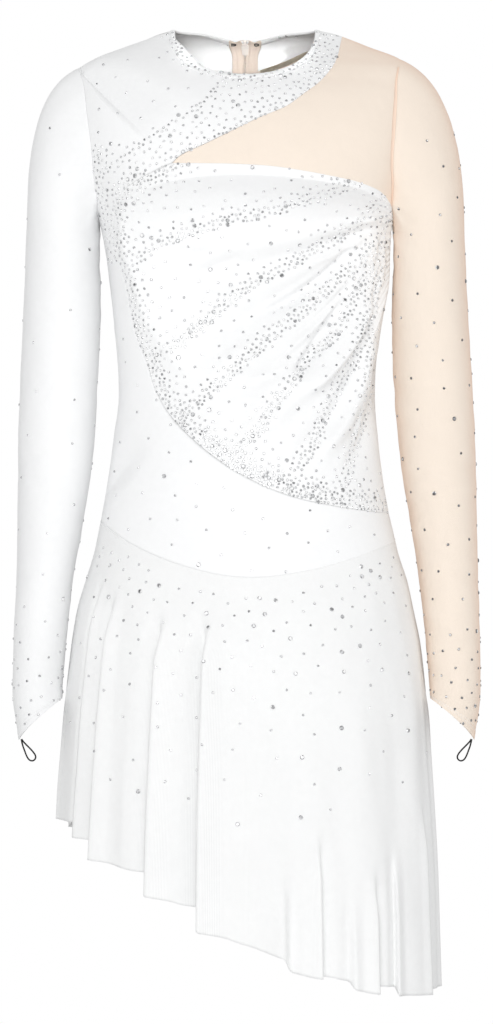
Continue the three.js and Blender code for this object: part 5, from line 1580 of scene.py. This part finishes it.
def zip_stitches():
    surface = surface_of("back_right_cloth", "back_left_band_cloth", "back_left_net_cloth",
                         "back_left_lower_cloth")
    runs = []
    for side in (-1, 1):
        for from_centre in ZIP_STITCHES:
            z = np.linspace(-16, -350, 300)
            line = back_point(side * from_centre + 0 * z, z)
            runs.append(stitch_run(surface, line, body_normal(line)))
    return np.concatenate(runs)


def cuff_stitches():
    runs = []
    turn = np.linspace(0, 2 * np.pi, 200)
    for name, rows in (("sleeve_white_cloth", SLEEVE_WHITE), ("sleeve_net_cloth", SLEEVE_NET)):
        surface = surface_of(name)
        for below in CUFF_STITCHES:
            z = rows.key[0] + (CUFF_HEM - below)
            lean = rows.at("tilt", z) * (1 - 2 * ((1 - np.cos(turn)) / 2) ** CUFF_POINT)
            outer, inner = rows.at("outer", z), rows.at("inner", z)
            way = xyz(np.cos(turn), -np.sin(turn), 0 * turn)
            middle = xyz((outer + inner) / 2, rows.at("y", z), z + lean)
            line = middle + way * np.array([(outer - inner) / 2, rows.at("half", z), 0])
            runs.append(stitch_run(surface, line, way))
    return np.concatenate(runs)


def make_stitches():
    runs = {"neck": neck_stitches(), "zip": zip_stitches(), "cuff": cuff_stitches()}
    for name, places in runs.items():
        piece = repeated(name + "_stitches", stitch_shape(), places, "white_thread")
        settle(piece, BODY_NAME, "white_stretch")


# ---- where the stones lie
def candidates(rng, lo, hi, spacing):
    """Evenly scattered trial points in a box, jittered off a close grid."""
    x = np.arange(lo[0], hi[0], spacing)
    z = np.arange(lo[1], hi[1], spacing)
    grid = np.stack(np.meshgrid(x, z), axis=-1).reshape(-1, 2)
    return grid + rng.uniform(-0.5, 0.5, grid.shape) * spacing


def thinned(points, apart, rng):
    """The trial points that keep their distance, without those where no stones lie."""
    near = apart < MOST_APART
    points, apart = points[near], apart[near]
    return points[spread(points, apart, rng)]


def set_stones(name, spots, normals, rng, settings, large_share, painted_dark_reflection=(0, 0.5)):
    """Stones of two sizes, each turned by chance, standing on the cloth."""
    large = rng.random(len(spots)) < large_share
    radius = np.where(large, settings.large_stone, settings.small_stone) / 2
    radius = radius * rng.uniform(*STONE_VARIATION, len(spots))
    turn = unit(rng.normal(size=(len(spots), 3)))
    places = places_from(spots + normals * STONE_LIFT, turn, normals, radius)
    # painted dark reflection of each stone, at least 0.4 on the large ones
    dark = np.maximum(mix(*painted_dark_reflection, rng.random(len(spots)) ** 2), 0.4 * large)
    shape = stone_shape(STONE_SIDES, STONE_TIERS)
    piece = repeated(name, shape, places, "cut_glass", painted_facet_glints(rng, dark))
    settle(piece, BODY_NAME, "crystal")


def set_facing(name, pieces, points, side, rng, settings, *looks):
    """Stones on what is seen from the front (side -1) or from behind (side 1)."""
    origins = xyz(points[:, 0], side * FAR, points[:, 1]).tolist()
    spots, normals, _ = laid_on(surface_of(*pieces), origins, [(0, -side, 0)] * len(points))
    set_stones(name, spots, normals, rng, settings, *looks)


def front_stones(rng, settings):
    points = candidates(rng, (-172, -540), (160, -2), 1.2)
    points = thinned(points, front_spacing(points), rng)
    pieces = ("front_base_cloth", "front_drape_cloth", "neck_binding_cloth")
    set_facing("front_stones", pieces, points, -1, rng, settings, LARGE_ON_BODICE)


def back_stones(rng, settings):
    points = candidates(rng, (-165, -535), (165, -8), 2.2)
    points = thinned(points, back_spacing(points), rng)
    pieces = ("back_right_cloth", "back_left_band_cloth", "back_left_lower_cloth", "neck_binding_cloth")
    set_facing("back_stones", pieces, points, 1, rng, settings, LARGE_ON_BODICE)


def skirt_stones(rng, settings):
    """Close below the seam, and thinning out down the skirt."""
    for name, side, seam_rows in (("skirt_front", -1, WAIST_SEAM_FRONT), ("skirt_back", 1, WAIST_SEAM_BACK)):
        points = candidates(rng, (-185, -800), (185, -500), 3.2)
        angle = np.degrees(np.arcsin(np.clip(points[:, 0] / 172, -1, 1)))
        below = seam_rows.at("z", angle) - points[:, 1]
        at_side = ease((np.abs(points[:, 0]) - 60) / 60)
        apart = mix(11.5, 9.5, at_side) + 0.085 * np.maximum(0, below - 24)
        apart = np.where(below < mix(20, 8, at_side), NO_STONES, apart)
        apart = np.where(rng.random(len(points)) < ease((below - 130) / 120), NO_STONES, apart)
        points = thinned(points, apart, rng)
        # the skirt's stones get a painted dark reflection from 0.1 to 0.6
        set_facing(name + "_stones", (name + "_cloth",), points, side, rng, settings, LARGE_ON_SKIRT,
                   (0.1, 0.6))


def sleeve_stones(rng, settings):
    """Closer on the cuff than up the arm."""
    # the net sleeve's stones get a much darker painted reflection than the white sleeve's
    for name, rows, painted_dark_reflection, apart in (("sleeve_white", SLEEVE_WHITE, (0.1, 0.6), 46),
                                        ("sleeve_net", SLEEVE_NET, (0.85, 1), 27)):
        points = candidates(rng, (0, -690), (2 * np.pi * ARM_RADIUS, -100), 4)
        from_cuff = points[:, 1] - rows.key[0]
        gap = mix(13.5, min(apart, 38), ease((from_cuff - 30) / 130))
        points = thinned(points, np.where(from_cuff > 330, apart, gap), rng)
        turn, z = points[:, 0] / ARM_RADIUS, points[:, 1]
        way = xyz(np.cos(turn), -np.sin(turn), 0 * turn)
        ring_z = np.minimum(z, -205)
        middle = xyz((rows.at("outer", ring_z) + rows.at("inner", ring_z)) / 2, rows.at("y", ring_z), z)
        surface = surface_of(name + "_cloth")
        spots, normals, _ = laid_on(surface, (middle + way * 120).tolist(), (-way).tolist())
        set_stones(name + "_stones", spots, normals, rng, settings, LARGE_ON_SLEEVES, painted_dark_reflection)


# ---- settings
def colour_property(name, default, description):
    return FloatVectorProperty(name=name, description=description, subtype="COLOR", size=3, min=0, max=1,
                               default=default)


def size_property(name, default, description):
    return FloatProperty(name=name, description=description + ", in millimetres", default=default, min=0.1,
                         max=20)


def power_property(name, default, description):
    return FloatProperty(name=name, description=description + ", in watts", default=default, min=0)


class SkatingDressSettings(bpy.types.PropertyGroup):
    """Colours and thicknesses of the cloth, and the sizes of the stones."""

    white: colour_property("White", (0.95, 0.955, 0.96), "Colour of the stretch cloth")
    nude: colour_property("Nude", (1.0, 0.885, 0.77), "Colour of the net inset and sleeve")
    nude_edge: colour_property("Nude edge", (0.99, 0.78, 0.64), "Colour of the net where it turns away")
    mesh: colour_property("Mesh", (0.955, 0.96, 0.96), "Colour of the skirt's mesh")
    tape: colour_property("Tape", (0.84, 0.72, 0.625), "Colour of the zip's tapes and metal")
    overlock: colour_property("Overlock", (0.56, 0.49, 0.38), "Colour of the overlocked seam strip")
    cloth: size_property("Cloth", 0.9, "Thickness of the white cloth")
    drape: size_property("Gathered cloth", 1.2, "Thickness of the gathered panel")
    net: size_property("Net", 0.5, "Thickness of the net")
    skirt: size_property("Skirt", 0.5, "Thickness of the skirt's mesh")
    small_stone: size_property("Small stones", 2.8, "Diameter of the small stones")
    large_stone: size_property("Large stones", 4.3, "Diameter of the large stones")
    seed: IntProperty(name="Seed", description="Which scatter of the stones is made", default=7, min=0)


class SkatingDressStage(bpy.types.PropertyGroup):
    """Camera, floor and light."""

    lens: FloatProperty(name="Lens", description="Focal length of the camera, in millimetres",
                        default=140.625, min=10, max=400)
    camera: FloatVectorProperty(name="Camera", description="Where the camera stands", subtype="XYZ",
                                unit="LENGTH", default=(0.0015, -4.0, -0.482))
    floor: colour_property("Floor", (0.93, 0.93, 0.93), "Colour of the floor")
    floor_height: FloatProperty(name="Floor height", description="Height of the floor", unit="LENGTH",
                                default=-1.35)
    room: FloatProperty(name="Room", description="Strength of the light from all round", default=0.59,
                        min=0)
    key: power_property("Key", 21.5, "Power of the large soft light in front")
    front: power_property("Front", 23, "Power of the low light in front")
    neck: power_property("Neck", 0.0092, "Power of the narrow light into the neck")
    fill: power_property("Fill", 1.8, "Power of the lights at both sides")


# ---- operators
def area_light(name, location, size, power, target, spread=180.0):
    lamp = bpy.data.lights.new(name, "AREA")
    lamp.shape = "RECTANGLE"
    lamp.size, lamp.size_y = size
    lamp.energy = power
    lamp.spread = math.radians(spread)
    piece = bpy.data.objects.new(name, lamp)
    piece.location = location
    piece.visible_camera = False
    piece.rotation_euler = (Vector(target) - Vector(location)).to_track_quat("-Z", "Y").to_euler()
    bpy.context.scene.collection.objects.link(piece)


def place_camera(scene, stage):
    lens = bpy.data.cameras.new("camera")
    lens.lens = stage.lens
    lens.sensor_width = 36
    lens.clip_end = 50
    camera = bpy.data.objects.new("camera", lens)
    camera.location = stage.camera
    camera.rotation_euler = (math.pi / 2, 0, 0)
    scene.collection.objects.link(camera)
    scene.camera = camera


def lay_floor(stage):
    floor_finish(stage.floor)
    bm = bmesh.new()
    bmesh.ops.create_grid(bm, x_segments=2, y_segments=2, size=2)
    bmesh.ops.translate(bm, verts=bm.verts, vec=(0, 0, stage.floor_height))
    new_object("floor", mesh_from(bm, "floor"), "floor")


def light_room(scene, stage):
    """A room that is white to the camera and dimmer as a light."""
    world = bpy.data.worlds.new("room")
    world.use_nodes = True
    tree = Tree(world.node_tree)
    seen = tree.add("ShaderNodeLightPath").outputs["Is Camera Ray"]
    background = world.node_tree.nodes["Background"].inputs
    background["Color"].default_value = (1, 1, 1, 1)
    tree.feed(background["Strength"], tree.math("MULTIPLY_ADD", seen, 1 - stage.room, stage.room))
    scene.world = world
    scene.view_settings.view_transform = "Standard"


NET_SIDE_FILL = 3.6         # how much more light the net sleeve's side gets


def hang_lamps(stage):
    middle = (0, 0, -0.45)
    area_light("key", (-0.5, -2.9, 0.6), (1.4, 1.4), stage.key, middle)
    area_light("front", (0.0, -3.4, -0.3), (1.6, 1.6), stage.front, middle)
    area_light("fill_right", (-2.4, -1.2, 0.1), (1.2, 2.2), stage.fill, middle)
    area_light("fill_left", (2.4, -1.2, 0.1), (1.2, 2.2), stage.fill * NET_SIDE_FILL, middle)
    area_light("neck", (0.0, -0.9, -0.02), (0.12, 0.02), stage.neck, (0, 0.06, -0.025), spread=3.0)
    area_light("back", (0.6, 2.6, 0.9), (2.0, 2.0), stage.fill, middle)


class DRESS_OT_stage(bpy.types.Operator):
    """Camera, plain floor and soft studio light"""

    bl_idname = "skating_dress.stage"
    bl_label = "Stage"
    bl_options = {"REGISTER", "UNDO"}

    def execute(self, context):
        stage = context.scene.skating_dress_stage
        place_camera(context.scene, stage)
        for build in (knit_group, net_group, tone_group, rib_group):
            build()
        lay_floor(stage)
        light_room(context.scene, stage)
        hang_lamps(stage)
        return {"FINISHED"}


ELASTIC_BLACK, WIRE_BLACK = (0.012, 0.012, 0.013), (0.015, 0.015, 0.016)
ZIP_PALER = 0.45            # how far the zip's metal is from its tape's colour to white


class DRESS_OT_finishes(bpy.types.Operator):
    """All materials of the dress"""

    bl_idname = "skating_dress.finishes"
    bl_label = "Finishes"
    bl_options = {"REGISTER", "UNDO"}

    def execute(self, context):
        settings = context.scene.skating_dress
        white_stretch(settings.white)
        net_finish("nude_net", settings.nude, settings.nude_edge, pitch=0.6, open_share=0.3)
        net_finish("skirt_tulle", settings.mesh, shade(settings.mesh, 0.97), pitch=0.62, open_share=0.16)
        net_finish("nude_seam", settings.nude_edge, shade(settings.nude_edge, 0.9), pitch=0.6, open_share=0.0)
        tape_finish(settings.tape)
        overlock_finish(settings.overlock)
        thread_finish("elastic_cord", ELASTIC_BLACK, roughness=0.8)
        thread_finish("white_thread", settings.white, roughness=0.6)
        zip_paint = mix(np.array(settings.tape), 1, ZIP_PALER)
        painted_metal("painted_zip", zip_paint, roughness=0.38, metallic=0.0)
        painted_metal("lacquered_wire", WIRE_BLACK, roughness=0.35, metallic=0.6)
        crystal_finish()
        return {"FINISHED"}


class DRESS_OT_finger_loops(bpy.types.Operator):
    """Black elastic finger loops on both cuff points"""

    bl_idname = "skating_dress.finger_loops"
    bl_label = "Finger loops"
    bl_options = {"REGISTER", "UNDO"}

    def execute(self, context):
        make_finger_loop("finger_loop_white", -1, SLEEVE_WHITE)
        make_finger_loop("finger_loop_net", 1, SLEEVE_NET)
        return {"FINISHED"}


class DRESS_OT_front(bpy.types.Operator):
    """White base, net inset and gathered panel of the front"""

    bl_idname = "skating_dress.front"
    bl_label = "Front"
    bl_options = {"REGISTER", "UNDO"}

    def execute(self, context):
        seams = bodice_seams()
        make_panels(front_sides(seams), context.scene.skating_dress)
        make_armhole_tape(seams)
        return {"FINISHED"}


class DRESS_OT_back(bpy.types.Operator):
    """White, net and band panels of the back"""

    bl_idname = "skating_dress.back"
    bl_label = "Back"
    bl_options = {"REGISTER", "UNDO"}

    def execute(self, context):
        make_panels(back_sides(bodice_seams()), context.scene.skating_dress)
        return {"FINISHED"}


class DRESS_OT_neck(bpy.types.Operator):
    """Folded binding of the neck"""

    bl_idname = "skating_dress.neck"
    bl_label = "Neck binding"
    bl_options = {"REGISTER", "UNDO"}

    def execute(self, context):
        make_binding()
        return {"FINISHED"}


class DRESS_OT_sleeves(bpy.types.Operator):
    """White sleeve and net sleeve, each with a pointed cuff"""

    bl_idname = "skating_dress.sleeves"
    bl_label = "Sleeves"
    bl_options = {"REGISTER", "UNDO"}

    def execute(self, context):
        make_sleeves(bodice_seams(), context.scene.skating_dress)
        return {"FINISHED"}


class DRESS_OT_skirt(bpy.types.Operator):
    """Skirt of white mesh, in two halves"""

    bl_idname = "skating_dress.skirt"
    bl_label = "Skirt"
    bl_options = {"REGISTER", "UNDO"}

    def execute(self, context):
        make_skirt(context.scene.skating_dress)
        return {"FINISHED"}


class DRESS_OT_zip(bpy.types.Operator):
    """Zip of the back: tapes, coils, slider and pull, with the seam strip and the hook and eye"""

    bl_idname = "skating_dress.zip"
    bl_label = "Zip and hook"
    bl_options = {"REGISTER", "UNDO"}

    def execute(self, context):
        make_tape("zip_tape_right", -1)
        make_tape("zip_tape_left", 1)
        make_seam_strip()
        make_teeth()
        refined("zip_slider", "zip_paint", "painted_zip", BODY_NAME, bevel=0.25,
                shape=shape_inner_plate)
        refined("zip_pull", "zip_paint", "painted_zip", PULL_NAME, bevel=0.2)
        make_wires()
        return {"FINISHED"}


class DRESS_OT_stitching(bpy.types.Operator):
    """Topstitching of the neck, zip and cuffs"""

    bl_idname = "skating_dress.stitching"
    bl_label = "Stitching"
    bl_options = {"REGISTER", "UNDO"}

    def execute(self, context):
        make_stitches()
        return {"FINISHED"}


class DRESS_OT_stones(bpy.types.Operator):
    """Cut stones scattered over the front, back, skirt and sleeves"""

    bl_idname = "skating_dress.stones"
    bl_label = "Stones"
    bl_options = {"REGISTER", "UNDO"}

    def execute(self, context):
        settings = context.scene.skating_dress
        rng = np.random.default_rng(settings.seed)
        for set_part in (front_stones, back_stones, skirt_stones, sleeve_stones):
            set_part(rng, settings)
        return {"FINISHED"}


class DRESS_OT_cuts(bpy.types.Operator):
    """Step for the cloth's cuts and how it is held, which makes and states nothing"""

    bl_idname = "skating_dress.cuts"
    bl_label = "Cloth cuts"
    bl_options = {"REGISTER", "UNDO"}

    def execute(self, context):
        return {"FINISHED"}


class DRESS_PT_panel(bpy.types.Panel):
    """Buttons that make the pieces of the dress"""

    bl_label = "Skating Dress"
    bl_space_type = "VIEW_3D"
    bl_region_type = "UI"
    bl_category = "Skating Dress"

    def draw(self, context):
        for group in (context.scene.skating_dress, context.scene.skating_dress_stage):
            box = self.layout.box()
            for name in group.bl_rna.properties.keys():
                if name not in ("rna_type", "name"):
                    box.prop(group, name)
        for operator in OPERATORS:
            self.layout.operator(operator.bl_idname)


# ---- add-on
OPERATORS = (DRESS_OT_stage, DRESS_OT_finishes, DRESS_OT_finger_loops, DRESS_OT_front, DRESS_OT_back,
             DRESS_OT_neck, DRESS_OT_sleeves, DRESS_OT_skirt, DRESS_OT_zip, DRESS_OT_stitching,
             DRESS_OT_stones, DRESS_OT_cuts)
CLASSES = (SkatingDressSettings, SkatingDressStage, *OPERATORS, DRESS_PT_panel)


def register():
    for each in CLASSES:
        bpy.utils.register_class(each)
    bpy.types.Scene.skating_dress = PointerProperty(type=SkatingDressSettings)
    bpy.types.Scene.skating_dress_stage = PointerProperty(type=SkatingDressStage)


def unregister():
    del bpy.types.Scene.skating_dress_stage
    del bpy.types.Scene.skating_dress
    for each in reversed(CLASSES):
        bpy.utils.unregister_class(each)


def main():
    register()
    for operator in OPERATORS:
        group, name = operator.bl_idname.split(".")
        getattr(getattr(bpy.ops, group), name)()


if __name__ == "__main__":
    main()
